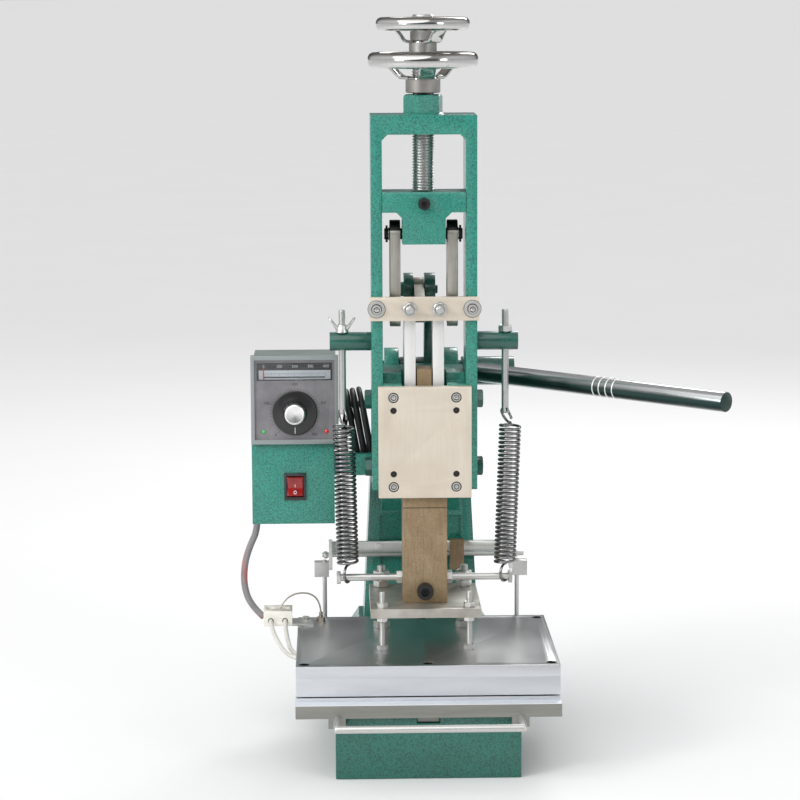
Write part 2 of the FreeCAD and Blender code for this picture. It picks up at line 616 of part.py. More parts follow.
well = hexagon("probe_hex", (-114, 95, "platen_top"), "Z", 5, 5)
neck = rod("probe_neck", (-114, 95, "platen_top"), "Z", 11, 2.2)
wire = hose("probe_wire", [(-114, 95, 132), (-115, 94, 145), (-126, 90, 156), (-142, 85, 157),
                           (-155, 82, 150), (-161, 80, 139)], 0.9)
finish("probe", group("probe_set", fuse("probe_solid", well, neck), wire))
finish("supply_cable", hose("supply_hose", [
    (-182.8, 75, 275), (-182.8, 75, 234), (-192.5, 75, 214), (-199, 76, 193), (-200, 77, 167),
    (-192, 79, 144), (-178.2, 80, 131)], D["cable_radius"]))

# ---------------------------------------------------------------- sliding tray
slab = block("tray_slab", ("-tray_half", "tray_half"), ("tray_front", "platen_deep"),
             ("tray_top - 8", "tray_top"))
skirt = block("tray_skirt", ("-tray_half", "tray_half"), ("tray_front", "tray_front + 10"),
              ("tray_bottom", "tray_top"))
tray_parts = [slab, skirt, block("tray_key", (-12, 12), ("tray_front + 16", 108),
                                 (61, "tray_top - 8"))]
for side in (-1, 1):
    inner, outer = (80, 98) if side > 0 else (-98, -80)
    tray_parts.append(block("tray_rail_%d" % side, (inner, outer), ("tray_front", "platen_deep"),
                            ("tray_bottom", "tray_top - 8")))
    lug = (87.5, 106) if side > 0 else (-106, -87.5)
    tray_parts.append(block("tray_lug_%d" % side, lug, ("tray_front", "tray_front + 10"),
                            (58.8, "tray_bottom")))
finish("tray", fuse("tray_solid", *tray_parts))
grips = [rod("grip_bar", (-96.5, "handle_reach", 70), "X", 193, "handle_radius")]
for side in (-1, 1):
    grips.append(rod("grip_leg_%d" % side, (side * 96.5, "handle_reach", 70), "Y",
                     "tray_front - handle_reach", "handle_radius"))
    grips.append(ball("grip_corner_%d" % side, (side * 96.5, "handle_reach", 70), "handle_radius"))
finish("tray_handle", fuse("grip_solid", *grips))
finish("die_plate", block("die_slab", ("-platen_half", "platen_half"),
                          ("-platen_deep", "platen_deep"), ("tray_top", "tray_top + die_thick")))

# ---------------------------------------------------------------- lever and drive link
bosses = [rod("lever_shaft", (-44, "pivot_back", "pivot_height"), "X", 110, "shaft_radius"),
          rod("lever_hub_boss", (-24.6, "pivot_back", "pivot_height"), "X", 49.2, "hub_radius"),
          rod("lever_end_boss", ("jaw_half + 0.3", "pivot_back", "pivot_height"), "X", 59.1, "hub_radius"),
          rod("lever_left_collar", (-48, "pivot_back", "pivot_height"), "X", "47.7 - jaw_half", "hub_radius")]
lean = math.degrees(math.atan2(D["pivot_back"] - D["fork_back"], D["fork_height"] - D["pivot_height"]))
reach = math.hypot(D["pivot_back"] - D["fork_back"], D["fork_height"] - D["pivot_height"])
for number, (start, thick) in enumerate(((-19.7, 10.4), (3, 12))):
    arm = block("fork_arm_%d" % number, (0, thick), (0, 28), (0, reach))
    swing = Turn(V(1, 0, 0), lean)
    corner = swing.multVec(V(0, -14, 0))
    put(arm, (start, "pivot_back + %r" % corner.y, "pivot_height + %r" % corner.z), swing)
    bosses.append(arm)
    bosses.append(rod("fork_eye_%d" % number, (start, "fork_back", "fork_height"), "X", thick, 18))
fork_hole = rod("fork_hole", (-30, "fork_back", "fork_height"), "X", 60, 5)
finish("lever_hub", cut("lever_cut", fuse("lever_solid", *bosses), fork_hole))
TUBE_START = (58, 94.2, 406)
TUBE_END = (307, -147, 406)
tube_line = V(*TUBE_END) - V(*TUBE_START)
tube = stick("tube_stem", TUBE_START, TUBE_END, "tube_radius")
grooves = []
for number, share in enumerate((0.60, 0.615, 0.63)):
    spot = V(*TUBE_START) + tube_line * share
    groove = ring("tube_groove_%d" % number, tuple(spot), "Z", "tube_radius + 0.4", 1.1)
    put(groove, tuple(spot), Turn(V(0, 0, 1), tube_line))
    grooves.append(groove)
finish("lever_tube", cut("tube_cut", tube, *grooves))
finish("fork_pin", group("fork_pin_set", fuse(
    "fork_pin_solid", rod("fork_stem", (-22, "fork_back", "fork_height"), "X", 40, 5),
    rod("fork_pin_head", (-25, "fork_back", "fork_height"), "X", 5.3, 8))))

run = V(0, -D["fork_back"], D["pin_high"] - D["link_length"] - D["fork_height"])
drive_parts = [rod("drive_eye_back", (-8.7, "fork_back", "fork_height"), "X", 11, 13),
               rod("drive_eye_front", (-8.7, 0, KNEE), "X", 11, 11)]
drive_bar = block("drive_bar", (0, 11), (0, 18), (0, run.Length))
drive_turn = Turn(V(1, 0, 0), math.degrees(math.atan2(-run.y, run.z)))
corner = drive_turn.multVec(V(0, -9, 0))
put(drive_bar, (-8.7, "fork_back + %r" % corner.y, "fork_height + %r" % corner.z), drive_turn)
drive_parts.append(drive_bar)
drive_holes = [rod("drive_hole_back", (-20, "fork_back", "fork_height"), "X", 40, "5 + run_gap"),
               rod("drive_hole_front", (-20, 0, KNEE), "X", 40, 5)]
finish("drive_link", cut("drive_cut", fuse("drive_solid", *drive_parts), *drive_holes))

# ---------------------------------------------------------------- control box and temperature meter
shell = block("box_shell", ("box_left", "box_right"), ("box_front", "box_back"),
              ("box_bottom", "box_top"))
inside = block("box_inside", ("box_left + sheet_thick", "box_right - sheet_thick"),
               ("box_front + sheet_thick", "box_back - sheet_thick"),
               ("box_bottom + sheet_thick", "box_top - sheet_thick"))
rocker_way = block("rocker_way", ("rocker_across - 9.8", "rocker_across + 9.8"),
                   ("box_front - 1", "box_front + 3"), ("rocker_height - 12.8", "rocker_height + 12.8"))
cable_way = rod("cable_way", (-182.8, 75, "box_bottom - 1"), "Z", 4, "cable_radius + 0.25")
mains_way = rod("mains_way", (-140, "box_back - 3", 282), "Y", 6, "cord_radius + 0.1")
arm_bar = block("box_arm", ("box_right", "-jaw_half"), (46, 54), (298, 322))
arm_foot = block("box_foot", ("-jaw_half - 3", "-jaw_half"), (46, 92), (298, 384))
peg = rod("cord_peg", (-84, 88, 370.9), "X", "84 - jaw_half", 4)
finish("control_box", cut("box_cut", fuse("box_weldment", cut("box_tray", shell, inside),
                                          arm_bar, arm_foot, peg),
                              rocker_way, cable_way, mains_way))

RIGHT = "meter_left + meter_size"
case_shell = block("case_shell", ("meter_left + 3", RIGHT + " - 3"), ("meter_front + 6", 110),
                   ("box_top", "meter_top - 3"))
case_inside = block("case_inside", ("meter_left + 5", RIGHT + " - 5"), ("meter_front + 5", 108),
                    ("box_top + 2", "meter_top - 5"))
finish("meter_case", cut("case_cut", case_shell, case_inside))
bezel = block("bezel", ("meter_left", RIGHT), ("meter_front", "meter_front + 6"),
              ("box_top", "meter_top"))
panel_sink = block("panel_sink", ("meter_left + 4", RIGHT + " - 4"),
                   ("meter_front - 1", "meter_front + 2"), ("box_top + 5", "meter_top - 5"))
window_way = block("window_way", (-181.7, -98.8), ("meter_front - 1", "meter_front + 7"),
                   (405.3, 425))
knob_way = rod("knob_way", ("dial_across", "meter_front - 1", "dial_height"), "Y", 8, 3.05)
lamp_ways = [rod("lamp_way_%d" % number, (x, "meter_front", 348.6), "Y", 7, 2.5)
             for number, x in enumerate((-174.5, -105.7))]
finish("meter_face", cut("face_cut", bezel, panel_sink, window_way, knob_way, *lamp_ways))
finish("meter_scale", block("scale_plate", (-181.7, -98.8),
                            ("meter_front + 6.2", "meter_front + 7.2"), (403, 427)))
finish("meter_window", block("window_pane", (-181.7, -98.8),
                             ("meter_front + 2.2", "meter_front + 3.4"), (405.3, 425)))
needle_strip = block("needle_strip", (-174.6, -173.4), ("meter_front + 5.2", "meter_front + 5.8"),
                     (406, 419))
finish("needle", needle_strip)
finish("lamps", group("lamp_pair", *[
    rod("lamp_%d" % number, (x, "meter_front + 1.4", 348.6), "Y", 5, 2.45)
    for number, x in enumerate((-174.5, -105.7))]))
disc = rod("dial_disc", ("dial_across", "meter_front - 0.5", "dial_height"), "Y", 2.4, 24.6)
skirt_ring = rod("dial_skirt", ("dial_across", "meter_front - 7", "dial_height"), "Y", 6.6, 13.5)
spindle = rod("dial_spindle", ("dial_across", "meter_front", "dial_height"), "Y", 12, 3)
finish("dial", fuse("dial_solid", disc, skirt_ring, spindle))
finish("dial_cap", rod("cap_disc", ("dial_across", "meter_front - 15", "dial_height"), "Y", 8, 11.5))
board = block("board", (-176, -104), (104, 105.6), (342, 420))
coil_can = block("coil_can", (-170, -135), (70, 104), (345, 380))
relay = block("relay", (-128, -110), (78, 104), (352, 382))
finish("meter_board", group("board_set", board, coil_can, relay))

frame_ring = block("rocker_rim", ("rocker_across - 12", "rocker_across + 12"),
                   ("box_front - 2", "box_front"), ("rocker_height - 15", "rocker_height + 15"))
rocker_can = block("rocker_can", ("rocker_across - 9.8", "rocker_across + 9.8"),
                   ("box_front", "box_front + 22"), ("rocker_height - 12.8", "rocker_height + 12.8"))
rocker_room = block("rocker_room", ("rocker_across - 9.3", "rocker_across + 9.3"),
                    ("box_front - 3", "box_front + 14"), ("rocker_height - 11.8", "rocker_height + 11.8"))
pivot_way = rod("pivot_way", ("rocker_across - 9.8", "box_front + 2", "rocker_height"), "X", 19.6, 1.25)
finish("rocker_frame", cut("rocker_frame_cut", fuse("rocker_frame_solid", frame_ring, rocker_can),
                           rocker_room, pivot_way))
rocker_body = block("rocker_body", ("rocker_across - 9.1", "rocker_across + 9.1"),
                    ("box_front - 4", "box_front + 5"), ("rocker_height - 10.6", "rocker_height + 10.6"))
rocker_pivot = rod("rocker_pivot", ("rocker_across - 9.7", "box_front + 2", "rocker_height"), "X", 19.4, 1.2)
finish("rocker", fuse("rocker_solid", rocker_body, rocker_pivot))

# ---------------------------------------------------------------- mains cord on its peg
finish("mains_lead", hose("mains_hose", [
    (-140, 100, 282), (-139, 120, 283), (-129, 137, 290), (-114, 145, 302), (-91, 141, 319),
    (-76, 130, 336), (-69, 119, 352)], D["cord_radius"]))
COIL_X = (-79.5, -58.5)
outer_oval = fuse("coil_outer", rod("coil_top", (COIL_X[0], 88, 358), "X", 21, 33),
                  rod("coil_bottom", (COIL_X[0], 88, 332), "X", 21, 33),
                  block("coil_middle", COIL_X, (55, 121), (332, 358)))
inner_oval = fuse("coil_inner", rod("coil_top_way", (COIL_X[0] - 1, 88, 358), "X", 23, 20),
                  rod("coil_bottom_way", (COIL_X[0] - 1, 88, 332), "X", 23, 20),
                  block("coil_middle_way", (COIL_X[0] - 1, COIL_X[1] + 1), (68, 108), (332, 358)))
coil_ring = cut("coil_cut", outer_oval, inner_oval)
coil_ring.Placement = FreeCAD.Placement(FreeCAD.Vector(0, 0, 0),
                                        FreeCAD.Rotation(FreeCAD.Vector(0, 1, 0), -10.5),
                                        FreeCAD.Vector(-69, 88, 345))
finish("mains_coil", coil_ring)
plug_body = block("plug_body", (-95, -81), (57, 79), (296, 332))
relief = stick("plug_relief", (-88, 68, 331), (-86, 67, 348), 4)
pins = [rod("plug_pin_%d" % number, (-88, y, 279), "Z", 17, 2) for number, y in enumerate((61, 75))]
finish("mains_plug", fuse("plug_solid", plug_body, relief, *pins))

# ---------------------------------------------------------------- foil frame on the column
flat = block("foil_flat", (-104.5, 104.5), ("column_front - 5", "column_front"),
             ("bar_height - 6", "bar_height + 6"))
foil_parts = [flat]
for side in (-1, 1):
    near, far = (100.5, 104.5) if side > 0 else (-104.5, -100.5)
    foil_parts.append(block("foil_ear_%d" % side, (near, far), (116.8, "column_front"),
                            (176, "bar_height + 8")))
rod_way = rod("foil_rod_way", (-120, "foil_back", "foil_height"), "X", 240, "2.75 + run_gap")
for number, (x, z) in enumerate(((-47.6, 201), (0, 201))):
    foil_parts.append(rod("foil_screw_%d" % number, (x, "column_front - 7.5", z), "Y", 5, 4))
finish("foil_bar", cut("foil_bar_cut", fuse("foil_bar_solid", *foil_parts), rod_way))
posts = [rod("low_foil_rod", ("-drop_across", "drop_back", 97), "X", "2 * drop_across", 2.5)]
for side in (-1, 1):
    near, far = (104.5, 121) if side > 0 else (-121, -104.5)
    posts.append(block("foil_block_%d" % side, (near, far), (117, 129), (168, 185)))
    posts.append(rod("foil_post_%d" % side, ("%d * drop_across" % side, "drop_back", 97), "Z", 90, 2.5))
    posts.append(ball("foil_corner_%d" % side, ("%d * drop_across" % side, "drop_back", 97), 2.5))
finish("foil_posts", fuse("foil_post_solid", *posts))
foil_shaft = rod("foil_shaft", (-112, "foil_back", "foil_height"), "X", 229, 2.75)
stop_rings = [rod("foil_stop_%d" % side, (side * 108 - 2, "foil_back", "foil_height"), "X", 4, 4.2)
              for side in (-1, 1)]
finish("foil_rod", fuse("foil_rod_solid", foil_shaft, *stop_rings))
guide = block("guide_block", (33, 49), (116.8, "column_front - 5"), (175, 210))
guide_way = rod("guide_way", (30, "foil_back", "foil_height"), "X", 22, 3.1)
finish("foil_guide", cut("foil_guide_cut", guide, guide_way))

# ---------------------------------------------------------------- recompute, check, export
reader = doc.getObject("reader")
if reader:
    doc.removeObject("reader")
doc.recompute()
for obj in doc.Objects:
    if "Invalid" in obj.State or "Error" in obj.State:
        raise RuntimeError("%s is in state %s" % (obj.Name, obj.State))
for obj in finals:
    if obj.Shape.isNull() or not obj.Shape.isValid():
        raise RuntimeError("%s has no valid shape" % obj.Label)
    obj.Shape.exportStep("parts/%s.step" % obj.Label)
print("exported %d parts" % len(finals))
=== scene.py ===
import math

import bmesh
import bpy
from mathutils import Matrix, Vector


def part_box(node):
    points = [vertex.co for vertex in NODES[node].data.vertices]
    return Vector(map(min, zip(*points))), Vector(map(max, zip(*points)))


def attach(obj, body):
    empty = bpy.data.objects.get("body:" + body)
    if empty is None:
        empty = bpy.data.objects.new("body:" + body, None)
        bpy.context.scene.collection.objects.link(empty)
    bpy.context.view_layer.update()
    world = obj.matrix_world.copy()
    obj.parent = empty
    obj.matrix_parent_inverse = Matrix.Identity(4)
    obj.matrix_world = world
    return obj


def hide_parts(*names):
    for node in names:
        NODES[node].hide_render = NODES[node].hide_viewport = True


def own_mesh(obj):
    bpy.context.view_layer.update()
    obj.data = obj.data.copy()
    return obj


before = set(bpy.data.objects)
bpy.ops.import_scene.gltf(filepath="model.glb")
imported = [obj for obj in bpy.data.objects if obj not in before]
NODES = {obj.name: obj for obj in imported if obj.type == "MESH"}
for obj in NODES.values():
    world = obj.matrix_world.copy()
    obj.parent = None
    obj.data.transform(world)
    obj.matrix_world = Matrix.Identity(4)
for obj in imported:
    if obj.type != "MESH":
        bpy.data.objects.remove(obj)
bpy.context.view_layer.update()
MM = 0.001
TURN = 2 * math.pi
SCENE = bpy.context.scene
MATERIALS = {}


def linked(obj):
    SCENE.collection.objects.link(obj)
    return obj


# ---------------------------------------------------------------- camera
def make_camera():
    """A long lens in front of the press, a little above its middle and to the operator's left."""
    down, aside, roll = math.radians(8.62), math.radians(1.43), math.radians(-0.25)
    ahead = Vector((math.sin(aside) * math.cos(down), math.cos(aside) * math.cos(down),
                    -math.sin(down)))
    across = Vector((math.cos(aside), -math.sin(aside), 0))
    above = across.cross(ahead)
    right = math.cos(roll) * across + math.sin(roll) * above
    up = right.cross(ahead)
    data = bpy.data.cameras.new("camera")
    data.lens = 121.5
    data.sensor_width = 36
    data.clip_start, data.clip_end = 0.1, 500
    camera = bpy.data.objects.new("camera", data)
    turn = Matrix((right, up, -ahead)).transposed()
    camera.matrix_world = Matrix.Translation((-0.098, -2.889, 0.8267)) @ turn.to_4x4()
    SCENE.camera = linked(camera)
    SCENE.view_settings.view_transform = "Standard"


make_camera()


# ---------------------------------------------------------------- material tools
class Nodes:
    """A node tree, with short calls for the nodes used here."""

    def __init__(self, tree):
        self.tree = tree

    def link(self, source, target):
        self.tree.links.new(source, target)

    def feed(self, source, socket):
        """Links a source into a socket, or sets the socket where the source is a number or colour."""
        if isinstance(source, (int, float)):
            socket.default_value = source
        elif isinstance(source, tuple):
            socket.default_value = (*source, 1)
        else:
            self.link(source, socket)

    def node(self, kind, **values):
        made = self.tree.nodes.new(kind)
        for key, value in values.items():
            if hasattr(made, key):
                setattr(made, key, value)
            else:
                made.inputs[key.replace("_", " ")].default_value = value
        return made

    def place(self, stretch=(1, 1, 1), source="Object"):
        """Object coordinates, stretched along the axes."""
        coordinates = self.node("ShaderNodeTexCoord")
        mapping = self.node("ShaderNodeMapping", Scale=stretch)
        self.link(coordinates.outputs[source], mapping.inputs["Vector"])
        return mapping.outputs["Vector"]

    def noise(self, scale, detail=3.0, roughness=0.55, stretch=(1, 1, 1), source="Object"):
        made = self.node("ShaderNodeTexNoise", Scale=scale, Detail=detail, Roughness=roughness)
        self.link(self.place(stretch, source), made.inputs["Vector"])
        return made.outputs["Fac"]

    def cells(self, scale, feature="F1", stretch=(1, 1, 1)):
        made = self.node("ShaderNodeTexVoronoi", feature=feature, Scale=scale)
        self.link(self.place(stretch), made.inputs["Vector"])
        return made.outputs["Distance"]

    def ramp(self, source, *stops):
        """A colour ramp with (position, grey or colour) stops."""
        made = self.node("ShaderNodeValToRGB")
        points = made.color_ramp.elements
        while len(points) < len(stops):
            points.new(0.5)
        for point, (where, value) in zip(points, stops):
            point.position = where
            point.color = (*value, 1) if hasattr(value, "__len__") else (value, value, value, 1)
        self.link(source, made.inputs["Fac"])
        return made.outputs["Color"]

    def mix(self, factor, first, second, blend="MIX"):
        made = self.node("ShaderNodeMix", data_type="RGBA", blend_type=blend)
        for source, socket in zip((factor, first, second), (0, 6, 7)):
            self.feed(source, made.inputs[socket])
        return made.outputs[2]

    def math(self, operation, first, second=0.0):
        made = self.node("ShaderNodeMath", operation=operation)
        self.feed(first, made.inputs[0])
        self.feed(second, made.inputs[1])
        return made.outputs[0]

    def axis(self, letter, source="Object"):
        made = self.node("ShaderNodeSeparateXYZ")
        self.link(self.node("ShaderNodeTexCoord").outputs[source], made.inputs[0])
        return made.outputs[letter]


class Graph(Nodes):
    """A new material, kept under its name, with its own shader's sockets."""

    def __init__(self, name, color, metallic=0.0, roughness=0.5, **sockets):
        self.material = bpy.data.materials.new(name)
        self.material.use_nodes = True
        super().__init__(self.material.node_tree)
        self.shader = self.tree.nodes["Principled BSDF"]
        self.set("Base Color", (*color, 1))
        self.set("Metallic", metallic)
        self.set("Roughness", roughness)
        for key, value in sockets.items():
            self.set(key.replace("_", " "), value)
        self.material.diffuse_color = (*color, 1)
        MATERIALS[name] = self.material

    def set(self, socket, value):
        self.shader.inputs[socket].default_value = value

    def to(self, source, socket):
        self.link(source, self.shader.inputs[socket])

    def color(self, source):
        self.to(source, "Base Color")

    def rough(self, source):
        self.to(source, "Roughness")

    def bump(self, height, distance, strength=1.0):
        made = self.node("ShaderNodeBump", Strength=strength, Distance=distance)
        self.link(height, made.inputs["Height"])
        self.to(made.outputs["Normal"], "Normal")


# ---------------------------------------------------------------- paints
def hammered_green():
    """Hammered enamel: shallow dimples with darker pits between pale flakes, and painted shade near the
    floor.
    """
    g = Graph("hammered_green", (0.045, 0.33, 0.25), 0.0, 0.34, Coat_Weight=0.55,
              Coat_Roughness=0.12)
    speck = g.noise(640, 1.0, 0.5)
    flake = g.cells(520)
    broad = g.noise(14, 2.0)
    lit = g.ramp(broad, (0.3, (0.018, 0.240, 0.178)), (0.7, (0.012, 0.185, 0.136)))
    pitted = g.mix(g.ramp(speck, (0.40, 1.0), (0.53, 0.0)), lit, (0.004, 0.085, 0.066))
    shade = g.mix(g.ramp(flake, (0.1, 0.0), (0.8, 0.45)), pitted, (0.045, 0.35, 0.27))
    # painted shade: the colour is darkened towards the floor, most at the bottom and not at all above
    # 0.26 m
    low = g.ramp(g.axis("Z"), (0.0, (0.42, 0.50, 0.50)), (0.09, (0.62, 0.68, 0.68)),
                 (0.26, (1.0, 1.0, 1.0)))
    g.color(g.mix(1.0, shade, low, "MULTIPLY"))
    g.rough(g.ramp(speck, (0.3, 0.55), (0.6, 0.28)))
    g.bump(g.math("ADD", flake, g.math("MULTIPLY", speck, 0.7)), 0.00022, 0.7)


def lever_steel():
    """Polished steel tube, with a painted highlight along its upper side and painted shade with a green
    cast along its front.
    """
    g = Graph("lever_steel", (0.30, 0.31, 0.30), 0.85, 0.16)
    streak = g.noise(70, 4.0, 0.6, (0.3, 0.3, 1))
    # painted light: the colour is set by which way each face turns, pale on faces turned up or down,
    # dark and green on faces turned sideways
    painted_light_facing = g.math("ADD", g.axis("Z", "Normal"), g.math("MULTIPLY", streak, 0.16))
    share = g.math("ADD", g.math("MULTIPLY", painted_light_facing, 0.5), 0.5)
    tone = g.ramp(share, (0.10, (0.46, 0.47, 0.46)), (0.20, (0.13, 0.15, 0.145)),
                  (0.30, (0.018, 0.040, 0.036)), (0.56, (0.030, 0.062, 0.055)),
                  (0.68, (0.20, 0.215, 0.21)), (0.86, (0.40, 0.41, 0.41)))
    g.color(tone)
    g.rough(g.ramp(streak, (0.3, 0.16), (0.8, 0.28)))
    g.bump(g.noise(140, 3.0), 0.0001, 0.3)


def smooth_green():
    """Brushed-on gloss enamel, with faint strokes and a worn look."""
    g = Graph("smooth_green", (0.012, 0.17, 0.125), 0.0, 0.28, Coat_Weight=0.6, Coat_Roughness=0.1)
    streak = g.noise(90, 4.0, 0.6, (0.25, 1, 1))
    tone = g.ramp(streak, (0.25, (0.003, 0.050, 0.038)), (0.75, (0.010, 0.130, 0.092)))
    g.color(tone)
    g.rough(g.ramp(g.noise(260), (0.3, 0.22), (0.7, 0.42)))
    g.bump(g.noise(300, 3.0), 0.00025, 0.5)


# ---------------------------------------------------------------- metals
def metal(name, color, roughness, stretch, grain=900, spread=0.10, darken=0.82, depth=0.00003,
          metallic=1.0, stain=None, painted_top_reflection=None):
    """Bare metal with a directional grain, fine scratches and patchy handling marks, and on request a
    painted reflection in a given colour on faces turned upward.
    """
    g = Graph(name, color, metallic, roughness)
    grain_noise = g.noise(grain, 4.0, 0.65, stretch)
    patch = g.noise(22, 3.0)
    dark = tuple(value * darken for value in color)
    tone = g.mix(g.ramp(grain_noise, (0.3, 0.0), (0.7, 1.0)), dark, color)
    if stain:
        tone = g.mix(g.ramp(patch, (0.42, 0.0), (0.66, 0.75)), tone, stain)
    if painted_top_reflection:
        # painted reflection: faces turned upward are given their own colour
        upward = g.ramp(g.axis("Z", "Normal"), (0.30, 0.0), (0.62, 0.9))
        tone = g.mix(upward, tone, painted_top_reflection)
    g.color(tone)
    worn = g.math("ADD", g.math("MULTIPLY", grain_noise, spread), roughness - spread / 2)
    patchy = g.math("ADD", worn, g.math("MULTIPLY", patch, spread * 0.8))
    g.rough(patchy)
    g.bump(grain_noise, depth, 0.8)


def make_metals():
    metal("ground_plate", (0.70, 0.63, 0.53), 0.42, (1, 1, 0.05), 500, 0.10, 0.93, 0.00002, 0.45,
          (0.62, 0.54, 0.44))
    metal("zinc", (0.66, 0.66, 0.64), 0.29, (1, 1, 1), 700, 0.14, 0.84, 0.00003, 0.85)
    metal("bright_bar", (0.84, 0.84, 0.82), 0.36, (1, 1, 0.04), 800, 0.12, 0.94, 0.00002, 0.5)
    # the chrome's upward faces carry a painted dark reflection
    metal("chrome", (0.64, 0.64, 0.63), 0.08, (1, 1, 1), 260, 0.06, 0.90, 0.00001,
          painted_top_reflection=(0.17, 0.155, 0.135))
    metal("worn_boss", (0.46, 0.45, 0.43), 0.42, (1, 1, 0.3), 400, 0.2, 0.7, stain=(0.26, 0.25, 0.23))
    metal("spring_wire", (0.25, 0.25, 0.25), 0.16, (1, 1, 1), 900, 0.10, 0.85)
    metal("screw_steel", (0.58, 0.58, 0.57), 0.28, (1, 1, 1), 500, 0.14, 0.80)
    metal("steel_dark", (0.36, 0.35, 0.32), 0.40, (1, 1, 0.08), 500, 0.16, 0.75,
          stain=(0.22, 0.20, 0.16))
    metal("black_oxide", (0.035, 0.034, 0.033), 0.42, (1, 1, 1), 700, 0.14, 0.6, 0.00004, 0.6)
    # the tray's upward faces carry a painted pale blue reflection, while its other faces stay dark
    metal("tray_steel", (0.30, 0.30, 0.275), 0.42, (0.06, 1, 1), 500, 0.12, 0.86, 0.00002, 0.65,
          painted_top_reflection=(0.84, 0.87, 0.92))
    metal("warm_steel", (0.58, 0.565, 0.52), 0.34, (0.1, 1, 1), 500, 0.12, 0.88, 0.00002, 0.75,
          (0.30, 0.27, 0.22))
    metal("probe_metal", (0.52, 0.47, 0.40), 0.34, (1, 1, 1), 600, 0.12, 0.8)


def polished_plate():
    """Polished platen: mirror-like with heat and rub stains on top, satin along its edges."""
    g = Graph("polished_plate", (0.62, 0.63, 0.64), 1.0, 0.14)
    smear = g.noise(9, 3.0, 0.55, (1, 0.45, 1))
    fine = g.noise(700, 3.0, 0.6, (1, 0.05, 1))
    edge = g.math("LESS_THAN", g.axis("Z", "Normal"), 0.5)
    top = g.ramp(smear, (0.28, (0.52, 0.525, 0.53)), (0.52, (0.70, 0.705, 0.71)),
                 (0.75, (0.78, 0.775, 0.76)))
    side = g.ramp(g.noise(60, 4.0, 0.6, (0.2, 1, 1)), (0.3, (0.66, 0.69, 0.72)),
                  (0.7, (0.74, 0.76, 0.79)))
    g.color(g.mix(edge, top, side))
    top_rough = g.ramp(smear, (0.25, 0.27), (0.8, 0.38))
    g.rough(g.mix(edge, top_rough, (0.40, 0.40, 0.40)))
    g.bump(fine, 0.00001, 0.5)


def dull_link():
    """Oiled bar: olive grey down its length, with a painted dark reflection in black at its top."""
    g = Graph("dull_link", (0.42, 0.40, 0.35), 0.9, 0.36)
    high = g.axis("Z")
    tone = g.ramp(g.noise(240, 4.0, 0.6, (1, 1, 0.06)), (0.3, (0.34, 0.325, 0.28)),
                  (0.7, (0.50, 0.485, 0.44)))
    # painted dark reflection: everything above 0.5735 m, the links' rounded top ends, is black
    painted_dark_top = g.math("GREATER_THAN", high, 0.5735)
    g.color(g.mix(painted_dark_top, tone, (0.02, 0.02, 0.02)))
    g.rough(g.ramp(g.noise(120), (0.3, 0.28), (0.7, 0.46)))
    g.bump(g.noise(500, 3.0, 0.6, (1, 1, 0.1)), 0.00003)


def brown_ram():
    """Oiled ram steel with a brown, finely speckled skin."""
    g = Graph("brown_ram", (0.35, 0.24, 0.16), 0.35, 0.52)
    speck = g.noise(900, 4.0, 0.7)
    streak = g.noise(560, 3.0, 0.6, (1, 1, 0.10))
    cloud = g.noise(24, 4.0, 0.6)
    tone = g.ramp(cloud, (0.3, (0.225, 0.155, 0.080)), (0.7, (0.36, 0.270, 0.160)))
    grained = g.mix(g.ramp(streak, (0.38, 0.24), (0.52, 0.0)), tone, (0.12, 0.080, 0.042))
    mottled = g.mix(g.ramp(speck, (0.34, 0.5), (0.50, 0.0)), grained, (0.13, 0.085, 0.045))
    off = g.math("ABSOLUTE", g.math("SUBTRACT", g.axis("Z"), 0.2742))
    line = g.math("MULTIPLY", g.math("LESS_THAN", off, 0.0006), 0.75)
    g.color(g.mix(line, mottled, (0.045, 0.026, 0.014)))
    g.rough(g.ramp(speck, (0.3, 0.62), (0.7, 0.44)))
    g.bump(speck, 0.00004, 0.7)


# ---------------------------------------------------------------- plastics, ceramic, sleeves
def plastic(name, color, roughness, grain=900, depth=0.00003, coat=0.0, spread=0.12):
    g = Graph(name, color, 0.0, roughness, Coat_Weight=coat, Coat_Roughness=0.08)
    fine = g.noise(grain, 2.0)
    wear = g.noise(30, 4.0)
    worn = tuple(min(1.0, value * 1.18 + 0.01) for value in color)
    g.color(g.mix(g.ramp(wear, (0.45, 0.0), (0.75, 0.7)), color, worn))
    g.rough(g.math("ADD", g.math("MULTIPLY", wear, spread), roughness - spread / 2))
    g.bump(fine, depth, 0.6)


def make_plastics():
    plastic("case_grey", (0.17, 0.20, 0.19), 0.46)
    plastic("bezel_grey", (0.30, 0.32, 0.32), 0.36)
    plastic("black_gloss", (0.012, 0.012, 0.013), 0.30, coat=0.3)
    plastic("card_white", (0.80, 0.84, 0.88), 0.55)
    plastic("print_dark", (0.02, 0.02, 0.025), 0.55)
    plastic("print_white", (0.80, 0.80, 0.80), 0.55)
    plastic("needle_red", (0.70, 0.05, 0.03), 0.40)
    plastic("board_green", (0.03, 0.16, 0.06), 0.40)
    plastic("glazed_white", (0.80, 0.78, 0.70), 0.22, 300, 0.0001, 0.5)
    plastic("cord_black", (0.016, 0.016, 0.017), 0.48, 500, 0.0001)


def face_panel():
    """Satin metal front of the meter, lightly cloudy."""
    g = Graph("face_panel", (0.16, 0.16, 0.18), 0.35, 0.34)
    cloud = g.noise(26, 5.0, 0.65)
    panel = g.ramp(cloud, (0.3, (0.150, 0.145, 0.158)), (0.72, (0.275, 0.265, 0.275)))
    rim = g.math("LESS_THAN", g.axis("Y"), 0.0375)
    g.color(g.mix(rim, panel, (0.30, 0.33, 0.33)))
    g.rough(g.ramp(cloud, (0.3, 0.30), (0.7, 0.46)))
    g.bump(g.noise(1500, 2.0), 0.00001)


